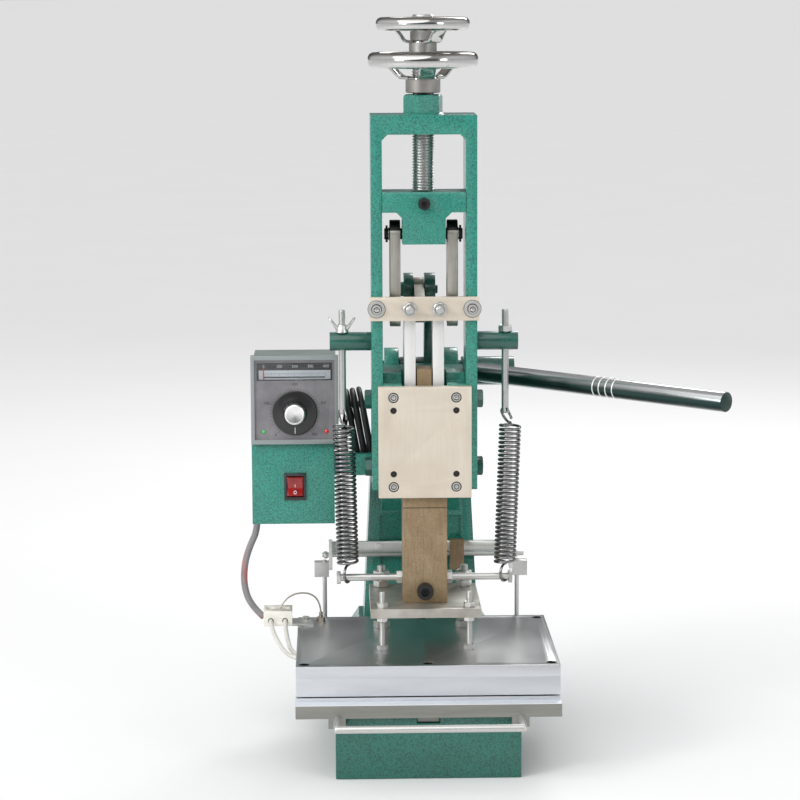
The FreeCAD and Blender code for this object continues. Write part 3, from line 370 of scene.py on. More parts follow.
def rocker_red():
    """Tinted rocker moulding with a soft inner glow."""
    g = Graph("rocker_red", (0.26, 0.004, 0.003), 0.0, 0.22, Coat_Weight=0.6, Coat_Roughness=0.06,
              Subsurface_Weight=0.25)
    g.set("Subsurface Radius", (0.006, 0.001, 0.001))
    shade = g.noise(80, 2.0, 0.5, (1, 1, 0.5))
    g.color(g.ramp(shade, (0.3, (0.20, 0.002, 0.002)), (0.7, (0.32, 0.004, 0.003))))
    g.bump(g.noise(900, 2.0), 0.00002)


def lamp(name, color, glow):
    g = Graph(name, color, 0.0, 0.18, Coat_Weight=0.8, Emission_Strength=glow)
    g.set("Emission Color", (*color, 1))
    rings = g.noise(1400, 2.0)
    g.color(g.ramp(rings, (0.3, tuple(v * 0.7 for v in color)), (0.7, color)))
    g.bump(rings, 0.00004)


def window_glass():
    g = Graph("window_glass", (0.95, 0.97, 0.98), 0.0, 0.03, Transmission_Weight=1.0, IOR=1.45)
    g.rough(g.ramp(g.noise(60, 3.0), (0.3, 0.02), (0.8, 0.09)))


def spun_cap():
    """Aluminium knob cap, spun so that light fans out from its centre."""
    g = Graph("spun_cap", (0.88, 0.88, 0.87), 1.0, 0.24, Anisotropic=0.85)
    tangent = g.node("ShaderNodeTangent", direction_type="RADIAL", axis="Y")
    g.to(tangent.outputs["Tangent"], "Tangent")
    box_low, box_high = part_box("dial_cap")
    middle = (box_low + box_high) / 2
    offset = g.node("ShaderNodeVectorMath", operation="DISTANCE")
    g.link(g.node("ShaderNodeTexCoord").outputs["Object"], offset.inputs[0])
    offset.inputs[1].default_value = middle
    rings = g.math("SINE", g.math("MULTIPLY", offset.outputs["Value"], 16000.0))
    g.bump(rings, 0.000008, 0.5)
    g.color(g.ramp(g.noise(120), (0.3, (0.80, 0.80, 0.79)), (0.7, (0.92, 0.92, 0.91))))


def sleeve(name, color, thread, braid=1.0, spiral=0.0):
    """A woven sleeve: a fine diagonal weave along the tube, with an optional coloured thread."""
    g = Graph(name, color, 0.0, 0.82, Sheen_Weight=0.25)
    coordinates = g.node("ShaderNodeUVMap")
    parts = g.node("ShaderNodeSeparateXYZ")
    g.link(coordinates.outputs["UV"], parts.inputs[0])
    along, aside = parts.outputs[0], parts.outputs[1]
    one = g.math("SINE", g.math("MULTIPLY", g.math("ADD", along, aside), 6.2832 * 9 * braid))
    two = g.math("SINE", g.math("MULTIPLY", g.math("SUBTRACT", along, aside), 6.2832 * 9 * braid))
    weave = g.math("MAXIMUM", one, two)
    tone = g.mix(g.ramp(weave, (0.0, 0.55), (0.9, 0.0)), color, tuple(v * 0.55 for v in color))
    if spiral:
        turn = g.math("FRACT", g.math("ADD", g.math("MULTIPLY", along, spiral), aside))
        band = g.math("LESS_THAN", turn, 0.28)
        fade = g.ramp(g.noise(60, 2.0), (0.35, 0.0), (0.6, 0.75))
        tone = g.mix(g.math("MULTIPLY", band, fade), tone, thread)
    dirt = g.ramp(g.noise(90, 4.0), (0.4, 0.0), (0.75, 0.4))
    g.color(g.mix(dirt, tone, tuple(v * 0.6 for v in color)))
    g.bump(weave, 0.00015, 0.8)


hammered_green()
lever_steel()
smooth_green()
make_metals()
polished_plate()
dull_link()
brown_ram()
make_plastics()
face_panel()
rocker_red()
lamp("lamp_red", (0.75, 0.02, 0.02), 0.15)
lamp("lamp_green", (0.06, 0.45, 0.12), 0.15)
window_glass()
spun_cap()
sleeve("grey_sleeve", (0.30, 0.29, 0.30), (0.55, 0.12, 0.10), 1.0, 0.33)
sleeve("white_sleeve", (0.78, 0.76, 0.70), (0.78, 0.76, 0.70), 1.4)


# ---------------------------------------------------------------- mesh tools
def add_object(name, mesh, material, body, slot, *replaced, smooth=True):
    obj = linked(bpy.data.objects.new(name, mesh))
    mesh.materials.append(MATERIALS[material])
    if smooth:
        mesh.shade_smooth()
    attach(obj, body)
    if replaced:
        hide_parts(*replaced)
    return obj


def mesh_from(name, vertices, faces, uvs=None):
    mesh = bpy.data.meshes.new(name)
    mesh.from_pydata([tuple(v) for v in vertices], [], faces)
    if uvs:
        layer = mesh.uv_layers.new(name="UVMap")
        for loop in mesh.loops:
            layer.data[loop.index].uv = uvs[loop.vertex_index]
    mesh.validate()
    work = bmesh.new()
    work.from_mesh(mesh)
    bmesh.ops.recalc_face_normals(work, faces=work.faces)
    work.to_mesh(mesh)
    work.free()
    mesh.update()
    return mesh


def around(count, start=0.0):
    """Unit vectors evenly round a circle, as (cosine, sine) pairs."""
    return [(math.cos(TURN * s / count + start), math.sin(TURN * s / count + start))
            for s in range(count)]


def eased(value, power):
    """A value raised to a power with its sign kept, which squares off or pinches a circle."""
    return math.copysign(abs(value) ** power, value)


def skin(rows, sides, closed=False, capped=True):
    """Faces over rows of points laid ring after ring: capped at both ends, open, or closed round."""
    faces = []
    for row in range(rows if closed else rows - 1):
        a, b = row * sides, (row + 1) % rows * sides
        for s in range(sides):
            n = (s + 1) % sides
            faces.append((a + s, a + n, b + n, b + s))
    if capped and not closed:
        faces.append(tuple(range(sides))[::-1])
        faces.append(tuple(range((rows - 1) * sides, rows * sides)))
    return faces


def frames_along(points):
    """Unit tangent, normal and side at each point, carried along without twist."""
    tangents = []
    for index, point in enumerate(points):
        before = points[max(index - 1, 0)]
        after = points[min(index + 1, len(points) - 1)]
        tangents.append((after - before).normalized())
    normal = tangents[0].orthogonal().normalized()
    frames = []
    for tangent in tangents:
        normal = (normal - tangent * normal.dot(tangent)).normalized()
        frames.append((tangent, normal, tangent.cross(normal)))
    return frames


def tube_mesh(name, points, radius, sides=12, swell=None, uv_scale=0.01):
    """A round tube through the points, closed at both ends. UV runs along (u) and around (v)."""
    points = [Vector(p) for p in points]
    vertices, uvs = [], []
    travelled = 0.0
    for index, (point, (_, normal, side)) in enumerate(zip(points, frames_along(points))):
        if index:
            travelled += (point - points[index - 1]).length
        wide = radius * (swell(travelled) if swell else 1)
        for step, (c, d) in enumerate(around(sides)):
            vertices.append(point + (normal * c + side * d) * wide)
            uvs.append((travelled / uv_scale, step / sides))
    return mesh_from(name, vertices, skin(len(points), sides), uvs)


AXES = {"X": Matrix(((0, 0, 1), (1, 0, 0), (0, 1, 0))).to_4x4(),
        "Y": Matrix(((1, 0, 0), (0, 0, 1), (0, -1, 0))).to_4x4(),
        "Z": Matrix.Identity(4)}


class Builder:
    """Collects turned, hexagonal and threaded shapes in one mesh, in millimetres."""

    def __init__(self):
        self.vertices = []
        self.faces = []

    def add(self, vertices, faces, at, axis="Z", flip=False):
        start = len(self.vertices)
        turn = AXES[axis]
        for vertex in vertices:
            local = Vector(vertex)
            if flip:
                local = Vector((local.x, -local.y, -local.z))
            self.vertices.append((turn @ local + Vector(at)) * MM)
        self.faces.extend(tuple(start + index for index in face) for face in faces)

    def turned(self, profile, at, axis="Z", sides=48, flip=False):
        """A solid of revolution. The profile is a closed line of (radius, height) pairs."""
        vertices = [(r * c, r * d, h) for r, h in profile for c, d in around(sides)]
        self.add(vertices, skin(len(profile), sides, True), at, axis, flip)

    def hexagon(self, across, height, at, axis="Z", bore=0.0, both=True, flip=False,
                turn=0.0):
        """A hex nut or head with rounded-off corners, a bore if one is given, and true chamfers."""
        apothem = across / 2
        per_side = 8
        count = 6 * per_side
        slope = math.tan(math.radians(30))
        inner, hole = apothem * 0.96, max(bore, 0.01)
        rings = [[] for _ in range(6)]
        for s, (c, d) in enumerate(around(count, math.radians(turn))):
            reach = apothem / math.cos((s / per_side) % 1 * math.pi / 3 - math.pi / 6)
            drop = (reach - inner) * slope
            corners = ((hole, 0.6 if bore else 0.0), (inner if both else reach, 0),
                       (reach, drop if both else 0.0), (reach, height - drop), (inner, height),
                       (hole, height - 0.6 if bore else height))
            for ring, (r, h) in zip(rings, corners):
                ring.append((r * c, r * d, h))
        self.add([v for ring in rings for v in ring], skin(6, count, True), at, axis, flip)

    def thread(self, radius, pitch, length, at, axis="Z", depth=None, sides=28, flip=False):
        """A threaded rod with chamfered ends."""
        depth = depth or pitch * 0.55
        per_pitch = 4
        rows = int(length / pitch * per_pitch) + 1
        vertices = []
        for row in range(rows + 1):
            height = min(length, row * pitch / per_pitch)
            near_end = min(height, length - height)
            for s, (c, d) in enumerate(around(sides)):
                wave = abs((height / pitch - s / sides) % 1 - 0.5) * 2
                r = radius - depth * min(1, wave * 1.25)
                r = min(r, radius - max(0.0, depth * 1.4 - near_end))
                vertices.append((r * c, r * d, height))
        self.add(vertices, skin(rows + 1, sides), at, axis, flip)

    def lofted(self, sections, at, power=3.2, axis="Z", flip=False):
        """A rounded-rectangle loft. Each section is (height, half width, half depth, shift in X)."""
        sides = 48
        vertices = [(wide * eased(c, 2 / power) + shift, deep * eased(d, 2 / power), height)
                    for height, wide, deep, shift in sections for c, d in around(sides)]
        self.add(vertices, skin(len(sections), sides), at, axis, flip)

    def disc(self, radius, height, at, axis="Z", bore=0.0, edge=0.3, sides=40, flip=False):
        """A washer, collar or plain round bar with softened edges."""
        inner = bore or 0.001
        profile = [(inner, 0), (radius - edge, 0), (radius, edge), (radius, height - edge),
                   (radius - edge, height), (inner, height)]
        self.turned(profile, at, axis, sides, flip)

    def socket_head(self, radius, height, socket, at, axis="Z", flip=False, knurl=True):
        """A cap-screw head: knurled rim, chamfered edge and a hexagon socket. Its face is at height."""
        sides = 72
        floor = height * 0.45
        ripple = radius * 0.035 if knurl else 0.0
        rows = [(0.01, 0, 0), (radius * 0.97, 0, 0), (radius, height * 0.06, ripple),
                (radius, height * 0.82, ripple), (radius * 0.9, height, 0),
                (socket * 1.08, height, None), (socket, height - 0.35, None), (socket, floor, None),
                (0.01, floor - 0.8, 0)]
        vertices = []
        for r, h, notch in rows:
            for s, (c, d) in enumerate(around(sides)):
                if notch is None:
                    flat = math.cos((s / 12) % 1 * math.pi / 3 - math.pi / 6)
                    reach = r * math.cos(math.pi / 6) / flat
                else:
                    reach = r - notch * (s % 2)
                vertices.append((reach * c, reach * d, h))
        self.add(vertices, skin(len(rows), sides, capped=False), at, axis, flip)

    def done(self, name, material, body, slot, *replaced, angle=30):
        mesh = mesh_from(name, self.vertices, self.faces)
        obj = add_object(name, mesh, material, body, slot, *replaced)
        mesh.set_sharp_from_angle(angle=math.radians(angle))
        return obj


# ---------------------------------------------------------------- carried-over nodes
FINISH = {
    "casting": ("hammered_green", 1.6), "cheek_frame": ("hammered_green", 0.9),
    "slider_block": ("hammered_green", 1.4), "control_box": ("hammered_green", 0.6),
    "spring_stubs": ("smooth_green", 0.8), "lever_hub": ("smooth_green", 1.2),
    "cover_plate": ("ground_plate", 0.35), "cross_plate": ("ground_plate", 0.35),
    "hanger_plate": ("warm_steel", 0.5), "platen_top_plate": ("polished_plate", 0.5),
    "heater_plate": ("polished_plate", 0.4), "tray": ("tray_steel", 0.7),
    "die_plate": ("polished_plate", 0.3), "tray_handle": ("zinc", 0.3), "ram": ("brown_ram", 0.9),
    "ram_pin": ("black_oxide", 0.4), "knee_pins": ("black_oxide", 0.4),
    "upper_links": ("dull_link", 0.6), "lower_links": ("bright_bar", 0.6),
    "drive_link": ("steel_dark", 0.8), "heater_rods": ("probe_metal", 0.3),
    "terminal_tab": ("zinc", 0.3), "terminal_block": ("glazed_white", 1.0),
    "lever_tube": ("lever_steel", 0.4),
    "meter_case": ("case_grey", 0.8), "meter_face": ("face_panel", 0.7),
    "meter_scale": ("card_white", 0.1), "meter_window": ("window_glass", 0.1),
    "needle": ("needle_red", 0.1), "meter_board": ("board_green", 0.3),
    "rocker_frame": ("black_gloss", 0.6), "foil_bar": ("bright_bar", 0.5),
    "foil_posts": ("zinc", 0.5), "foil_rod": ("zinc", 0.4), "foil_guide": ("brown_ram", 0.6),
    "fork_pin": ("smooth_green", 0.5), "top_pin": ("black_oxide", 0.4),
}


def dress(node, material, width):
    """Gives a CAD node its material, and rounds its edges without touching its vertices."""
    obj = NODES[node]
    obj.data.materials.clear()
    obj.data.materials.append(MATERIALS[material])
    obj.data.shade_smooth()
    weld = obj.modifiers.new("weld", "WELD")
    weld.merge_threshold = 1e-6
    flatten = obj.modifiers.new("flatten", "DECIMATE")
    flatten.decimate_type = "DISSOLVE"
    flatten.angle_limit = math.radians(0.6)
    bevel = obj.modifiers.new("edges", "BEVEL")
    bevel.width = width * MM
    bevel.segments = 3
    bevel.limit_method = "ANGLE"
    bevel.angle_limit = math.radians(28)
    bevel.harden_normals = True


for node_name, (finish_name, edge_width) in FINISH.items():
    dress(node_name, finish_name, edge_width)


# ---------------------------------------------------------------- floor and light
def make_stage():
    floor_mesh = mesh_from("floor", [(-60, -20, 0), (60, -20, 0), (60, 300, 0), (-60, 300, 0)],
                           [(0, 1, 2, 3)])
    floor = linked(bpy.data.objects.new("floor", floor_mesh))
    floor.location.z = -0.0002
    g = Graph("floor_pale", (0.80, 0.80, 0.80), 0.0, 0.9)
    g.color(g.ramp(g.noise(3, 2.0), (0.3, 0.795), (0.7, 0.805)))
    floor_mesh.materials.append(g.material)
    make_world()
    sun = bpy.data.lights.new("sun", "SUN")
    sun.energy = 1.45
    sun.angle = math.radians(70)
    aim_light(sun, (-2.2, -3.4, 4.2), (0, 0, 0))
    for name, place, size, power in (("left_box", (-1.9, -1.5, 1.3), 0.7, 20),
                                     ("right_box", (1.7, -1.9, 1.2), 0.6, 9),
                                     ("rear_box", (0.7, 2.0, 1.9), 1.0, 20)):
        data = bpy.data.lights.new(name, "AREA")
        data.size = size
        data.energy = power
        aim_light(data, place, (0, 0, 0.42))


def aim_light(data, place, aim):
    light = linked(bpy.data.objects.new(data.name, data))
    light.location = place
    light.rotation_mode = "QUATERNION"
    light.rotation_quaternion = (Vector(aim) - Vector(place)).to_track_quat("-Z", "Y")


def make_world():
    """A dim studio room with bright panels to both sides and overhead, for the metal to reflect."""
    world = bpy.data.worlds.new("studio")
    SCENE.world = world
    world.use_nodes = True
    g = Nodes(world.node_tree)
    totals = []
    for letter, stops in (("X", ((0.0, 1.1), (0.18, 0.9), (0.30, 0.10), (0.72, 0.10), (0.86, 0.7),
                                 (1.0, 0.9))),
                          ("Z", ((0.0, 0.4), (0.5, 0.12), (0.62, 0.10), (0.80, 0.65), (1.0, 1.1)))):
        place = g.math("ADD", g.math("MULTIPLY", g.axis(letter, "Generated"), 0.5), 0.5)
        shades = [(where, (min(1, grey), min(1, grey), min(1, grey * 1.02))) for where, grey in stops]
        totals.append(g.ramp(place, *shades))
    background = g.tree.nodes["Background"]
    g.link(g.mix(1.0, *totals, "ADD"), background.inputs["Color"])
    background.inputs["Strength"].default_value = 0.6


make_stage()


# ---------------------------------------------------------------- mains cord, its coil and plug
CORD = 3.0
RELIEF_LONG = 0.030
PLUG_CENTRE = (-88, 68, 0)
CORD_START = [(-140, 100, 282), (-139, 120, 283), (-129, 137, 290), (-114, 145, 302),
              (-91, 141, 319), (-78, 131, 336), (-77, 122, 350)]
COIL_CENTRES = (332, 358)
COIL_LEAN = math.radians(10.5)
PLUG_FOOT, PLUG_TOP = (-88, 68, 331), (-86, 67, 348)


def coil_point(turn, across, radius):
    """A point on the leaning oval, started on its far side and going up. Turn runs from 0 to 1."""
    low, high = COIL_CENTRES
    angle = TURN * turn
    middle = high if math.sin(angle) >= 0 else low
    aside, above = across + 69, middle + radius * math.sin(angle) - 345
    return (-69 + aside * math.cos(COIL_LEAN) - above * math.sin(COIL_LEAN),
            88 + radius * math.cos(angle),
            345 + aside * math.sin(COIL_LEAN) + above * math.cos(COIL_LEAN))


def coil_turns():
    """Three outer and three inner turns, side by side. Each changes place along the oval's foot."""
    columns = [(-76.5, 30), (-69, 30), (-61.5, 30), (-61.5, 23), (-69, 23), (-76.5, 23)]
    steps = 16
    points = []
    for number in range(len(columns)):
        here = columns[number]
        there = columns[min(number + 1, len(columns) - 1)]
        for step in range(steps):
            turn = step / steps
            if number == 5 and turn > 0.40:
                return points
            share = min(1.0, max(0.0, (turn - 0.55) / 0.3))
            share = share * share * (3 - 2 * share)
            loose = 1.5 * math.sin(TURN * turn * 2 + number * 1.1)
            across = here[0] + (there[0] - here[0]) * share
            radius = here[1] + (there[1] - here[1]) * share
            points.append(coil_point(turn, across + 0.25 * loose, radius + 0.2 * loose))
    return points


def nurbs_cord(name, points, radius, material):
    curve = bpy.data.curves.new(name, "CURVE")
    curve.dimensions = "3D"
    curve.resolution_u = 6
    curve.bevel_depth = radius * MM
    curve.bevel_resolution = 4
    curve.use_fill_caps = True
    spline = curve.splines.new("NURBS")
    spline.points.add(len(points) - 1)
    for place, point in zip(spline.points, points):
        place.co = (*[value * MM for value in point], 1)
    spline.order_u = 3
    spline.use_endpoint_u = True
    curve.materials.append(MATERIALS[material])
    return linked(bpy.data.objects.new(name, curve))


def line_of(obj):
    """The points of a cord's own NURBS line, read from a copy of the curve with no bevel."""
    bare = linked(obj.copy())
    bare.data = obj.data.copy()
    bare.data.bevel_depth = 0
    mesh = bpy.data.meshes.new_from_object(bare)
    points = [vertex.co.copy() for vertex in mesh.vertices]
    bpy.data.objects.remove(bare)
    bpy.data.meshes.remove(mesh)
    return points


def length_of(points):
    return sum((b - a).length for a, b in zip(points, points[1:]))


def relief_ribs(along):
    """How many times wider than the cord its relief sleeve is, tapering with raised ribs."""
    return 1.95 - along / RELIEF_LONG * 0.85 + 0.10 * (math.sin(along * 2100) > 0)


def make_mains():
    route = CORD_START + coil_turns()
    route += [(-84.5, 66.2, 362), PLUG_TOP]
    cord = nurbs_cord("mains_cord", route, CORD, "cord_black")
    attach(cord, "frame")
    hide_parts("mains_lead", "mains_coil")
    line = line_of(cord)

    sleeve_line = [point for point in line if (point - line[0]).length < RELIEF_LONG]
    relief = tube_mesh("mains_relief", sleeve_line, CORD * MM, 24, relief_ribs)
    add_object("mains_relief", relief, "black_gloss", "frame", "black_plastic")
    relief.set_sharp_from_angle(angle=math.radians(40))

    plug = Builder()
    plug.lofted([(296.0, 5.6, 9.6, 0), (297.2, 6.6, 10.6, 0), (306, 6.9, 10.9, 0), (318, 6.6, 10.4, 0),
                 (327, 5.6, 8.4, 0), (332, 4.6, 5.6, 0), (334, 4.2, 4.6, 0)], PLUG_CENTRE)
    for step in range(5):
        top = 335 + step * 3
        lean = (top - PLUG_FOOT[2]) / (PLUG_TOP[2] - PLUG_FOOT[2])
        centre = (PLUG_FOOT[0] + 2 * lean, PLUG_FOOT[1] - lean, 0)
        wide = 4.0 - step * 0.12
        plug.lofted([(top - 1.1, 3.4, 3.4, 0), (top - 0.8, wide, wide, 0), (top + 0.8, wide, wide, 0),
                     (top + 1.1, 3.4, 3.4, 0), (top + 1.9, 3.35, 3.35, 0)], centre, 2.0)
    plug = plug.done("mains_plug_body", "cord_black", "frame", "black_plastic", "mains_plug")
    pins = Builder()
    for back in (61, 75):
        pins.turned([(0.001, 279), (1.2, 279), (1.9, 280.5), (2.0, 283), (2.0, 297), (0.001, 297)],
                    (-88, back, 0), "Z", 24)
    pins = pins.done("mains_plug_pins", "chrome", "frame", "zinc_steel")
    print("mains cord length %.4f" % length_of(line))


def cable(name, points, radius, material, body, slot, sides=16):
    """A cable as a mesh tube on its route's own NURBS line, with UVs for its weave."""
    guide = nurbs_cord(name + "_guide", points, radius, material)
    line = line_of(guide)
    bpy.data.objects.remove(guide)
    mesh = tube_mesh(name, line, radius * MM, sides, None, radius * MM * 6.2832)
    obj = add_object(name, mesh, material, body, slot)
    print("%s length %.4f" % (name, length_of(line)))
    return obj, line


def make_cables():
    supply, line = cable("supply_line", [
        (-182.8, 75, 275), (-182.8, 75, 234), (-192.5, 75, 214), (-199, 76, 193), (-200, 77, 167),
        (-192, 79, 144), (-178.2, 80, 131)], 3.75, "grey_sleeve", "ram", "grey_sleeve")
    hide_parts("supply_cable")
    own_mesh(supply)
    for name, points in (
            ("heater_lead_a", [(-170, 68, 130), (-170, 50, 129), (-162, 34, 113), (-151, 24, 100),
                               (-140, 20, 98)]),
            ("heater_lead_b", [(-154, 68, 130), (-154, 56, 128), (-151, 46, 112), (-147, 38, 101),
                               (-140, 35, 98)])):
        lead, line = cable(name, points, 2.4, "white_sleeve", "ram", "white_sleeve")
        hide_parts("heater_leads")
    wire, line = cable("probe_wire", [
        (-114, 95, 132), (-115, 94, 145), (-126, 90, 156), (-142, 85, 157), (-155, 82, 150),
        (-161, 80, 139)], 0.9, "probe_metal", "ram", "dull_link", 10)
    probe = Builder()
    probe.hexagon(8.66, 5, (-114, 95, 122), both=False)
    probe.thread(2.6, 0.8, 3.5, (-114, 95, 126.6), depth=0.4)
    probe.turned([(0.001, 0), (2.1, 0), (2.2, 0.4), (2.0, 2.4), (1.2, 3.2), (0.001, 3.2)],
                 (-114, 95, 129.9))
    probe.done("probe_fitting", "probe_metal", "ram", "dull_link", "probe")


# ---------------------------------------------------------------- springs, hooks and eye bolts
WIRE = 1.45
COIL_RADIUS = 10.8
SPRING_OUT = 88
SPRING_FOOT, SPRING_JOIN, SPRING_HEAD = 209.0, 310.2, 360.8
SPRING_PITCH = (SPRING_HEAD - 210.2) / 32


def on_coil(height, radius=COIL_RADIUS, ahead=0.0, at=None):
    """A point on the springs' helix about the Z axis, or inside it, a little further round."""
    angle = TURN * height / SPRING_PITCH + ahead
    return (radius * math.cos(angle), radius * math.sin(angle), height if at is None else at)


def spring_turns(low, high):
    steps = int((high - low) / SPRING_PITCH * 28)
    return [on_coil(low + (high - low) * step / steps) for step in range(steps + 1)]


def loop(radius, centre, start, end, turn):
    """Part of an upright ring about centre, turned about Z, between two angles in degrees."""
    points = []
    count = 40
    spin = math.radians(turn)
    for step in range(count + 1):
        angle = math.radians(start + (end - start) * step / count)
        flat = radius * math.cos(angle)
        points.append((centre[0] + flat * math.cos(spin), centre[1] + flat * math.sin(spin),
                       centre[2] + radius * math.sin(angle)))
    return points


def rounded(points, repeats=2):
    """Cuts the corners of a line of points a few times over."""
    for _ in range(repeats):
        cut = [points[0]]
        for a, b in zip(points, points[1:]):
            cut.append(tuple(0.75 * p + 0.25 * q for p, q in zip(a, b)))
            cut.append(tuple(0.25 * p + 0.75 * q for p, q in zip(a, b)))
        points = cut + [points[-1]]
    return points


def lean(height, side):
    """How far across a spring's axis stands at a height, since neither spring hangs quite true."""
    share = min(1.0, max(0.0, (height - 209) / 152))
    if side < 0:
        return 4.3 - 3.3 * share if height < 362 else max(0.0, 1.0 - (height - 362) / 10)
    return 5.6 * share if height < 362 else max(0.0, 5.6 * (1 - (height - 362) / 13))


def spring_piece(side, name, points, body, *replaced):
    """A spring's wire through its points, at its own place and lean."""
    hung = [((SPRING_OUT * side + x + lean(z, side)) * MM, y * MM, z * MM) for x, y, z in points]
    mesh = tube_mesh(name, hung, WIRE * MM, 12)
    return add_object(name, mesh, "spring_wire", body, "spring_wire", *replaced)


def make_springs():
    """Each spring in two runs that meet at a fixed height, with a hook at each end."""
    for side, name, foot_turn in ((-1, "left", 66), (1, "right", 57)):
        coil = spring_piece(side, name + "_spring_top", spring_turns(SPRING_JOIN, SPRING_HEAD), "frame",
                            "spring_tops")
        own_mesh(coil)
        neck = [on_coil(SPRING_HEAD), on_coil(SPRING_HEAD, 8.5, 0.6, 361.9), (0.5, 1.5, 362.6),
                (0.6, 0.8, 363.0)]
        spring_piece(side, name + "_hook_top",
                     rounded(neck) + loop(8.3, (0, 0, 371.3), -84, 200, 118), "frame")

        coil = spring_piece(side, name + "_spring_low", spring_turns(SPRING_FOOT, SPRING_JOIN), "slider",
                            "spring_lows")
        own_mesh(coil)
        arc = loop(9.4, (0, 0, 197.2), 84, 322, foot_turn)
        neck = [on_coil(SPRING_FOOT), on_coil(SPRING_FOOT, 9.0, -0.6, 208.4), (2.6, 4.6, 207.4)]
        spring_piece(side, name + "_hook_low", rounded(neck + [arc[0]]) + arc[1:], "ram")


def make_eye_bolts():
    for side, name in ((-1, "left"), (1, "right")):
        shank = Builder()
        shank.turned([(0.001, 373.6), (2.2, 373.8), (3.3, 374.6), (3.75, 376.2), (3.85, 380),
                      (3.85, 452), (0.001, 452)], (88 * side, 0, 0), "Z", 28)
        shank.done(name + "_eye", "screw_steel", "frame", "zinc_steel", "eye_bolts")
    rods = Builder()
    for across in (-88, 88):
        rods.thread(4, 1.25, 57, (across, 0, 430))
    rods.hexagon(13, 6.5, (88, 0, 463), bore=3.6, turn=11)
    rods.done("eye_threads", "zinc", "frame", "zinc_steel")


def make_wing_nut():
    nut = Builder()
    nut.turned([(4.05, 0), (7.2, 0), (7.2, 1.0), (6.2, 3.4), (5.4, 7.0), (4.9, 8.2), (4.05, 8.2)],
               (-88, 0, 463), "Z", 40)
    for side in (-1, 1):
        splay = math.radians(side * 35)
        outline = [(0, 2.6, 1.9), (2.5, 3.4, 1.7), (5.5, 4.0, 1.5), (8.5, 4.7, 1.4), (11.5, 5.1, 1.3),
                   (14, 4.8, 1.2), (15.8, 3.9, 1.05), (16.9, 2.4, 0.8), (17.3, 0.7, 0.4)]
        vertices = []
        sides = 20
        for up, wide, thick in outline:
            for c, d in around(sides):
                x, y = thick * eased(c, 0.7), wide * eased(d, 0.7)
                vertices.append((x * math.cos(splay) + up * math.sin(splay) + side * 4.2, y,
                                 -x * math.sin(splay) + up * math.cos(splay) + 2.2))
        nut.add(vertices, skin(len(outline), sides), (-SPRING_OUT, 0, 463))
    nut.done("wing_nut_body", "zinc", "wing_nut", "zinc_steel", "wing_nut")


# ---------------------------------------------------------------- screw and handwheels
SPOKE_WIDE, SPOKE_THICK = 8.8, 1.8


def make_wheel(name, node, body, rim, hub, bore, spin, spoke):
    """A pressed chrome wheel: a deep round rim, a plain hub, and three flat spokes bent up to the rim.

    Rim is (height, ring radius, half width, half height), hub is (low, high, radius), and spoke
    is the line of a spoke's middle as (radius, height) points.
    """
    rim_height, ring, wide, tall = rim
    low, high, radius = hub
    wheel = Builder()
    section = [(ring + wide * eased(c, 0.85), rim_height + tall * eased(d, 0.9))
               for c, d in around(36)]
    wheel.turned(section, (0, 0, 0), "Z", 96)
    wheel.turned([(bore, high - 1), (radius - 2.0, high - 1), (radius - 2.2, high + 0.8),
                  (radius - 3.4, high + 1.8), (bore, high + 2)], (0, 0, 0), "Z", 64)
    line = rounded(spoke)
    sides = 16
    for number in range(3):
        angle = math.radians(spin + 120 * number)
        vertices = []
        for row, (out, rise) in enumerate(line):
            before, after = line[max(0, row - 1)], line[min(len(line) - 1, row + 1)]
            slope = math.atan2(after[1] - before[1], after[0] - before[0])
            for c, d in around(sides, math.pi / sides):
                across, thick = SPOKE_WIDE * eased(c, 0.35), SPOKE_THICK * eased(d, 0.5)
                x, z = out - thick * math.sin(slope), rise + thick * math.cos(slope)
                vertices.append((x * math.cos(angle) - across * math.sin(angle),
                                 x * math.sin(angle) + across * math.cos(angle), z))
        wheel.add(vertices, skin(len(line), sides), (0, 0, 0))
    wheel.done(name, "chrome", body, "chrome", node)
    boss = Builder()
    boss.turned([(bore, low), (radius - 0.8, low), (radius, low + 0.8), (radius, high - 0.8),
                 (radius - 0.8, high), (bore, high)], (0, 0, 0), "Z", 64)
    boss.done(name.replace("body", "boss"), "worn_boss", body, "zinc_steel")


def make_screw():
    screw = Builder()
    screw.thread(12, 3, 207.4, (0, 0, 594.5), depth=1.5, sides=48)
    screw.done("screw_thread", "screw_steel", "screw", "polished_steel", "adjust_screw")
    make_wheel("lock_wheel_body", "lock_wheel", "lock", (753.9, 52.0, 7.0, 8.2), (719.4, 734.2, 18.6),
               12.1, 277, [(14, 734.6), (19, 735.0), (25, 735.4), (33, 743.5), (41, 750), (48, 752.5)])
    make_wheel("feed_wheel_body", "feed_wheel", "screw", (792.0, 43.2, 6.8, 7.0), (761.8, 772.6, 14.8),
               11.5, 307, [(12, 773.0), (16, 773.4), (20.5, 774), (26, 783), (33, 789), (40, 791)])
    neck = Builder()
    neck.hexagon(24, 11, (0, 0, 774.2), bore=11.9, turn=12)
    neck.done("feed_wheel_nut", "zinc", "screw", "zinc_steel")
    nut = Builder()
    nut.hexagon(38.4, 21, (0, 0, 696.6), bore=12.2, turn=18)
    foot = [(12.3, 696.6), (23.2, 696.6), (22.6, 697.2), (21.2, 698.3), (19.0, 699.2), (12.3, 699.2)]
    nut.turned(foot, (0, 0, 0), "Z", 48)
    nut.done("top_nut_body", "hammered_green", "frame", "green_paint", "top_nut")


# ---------------------------------------------------------------- fasteners
PLATE_HEIGHT = 491


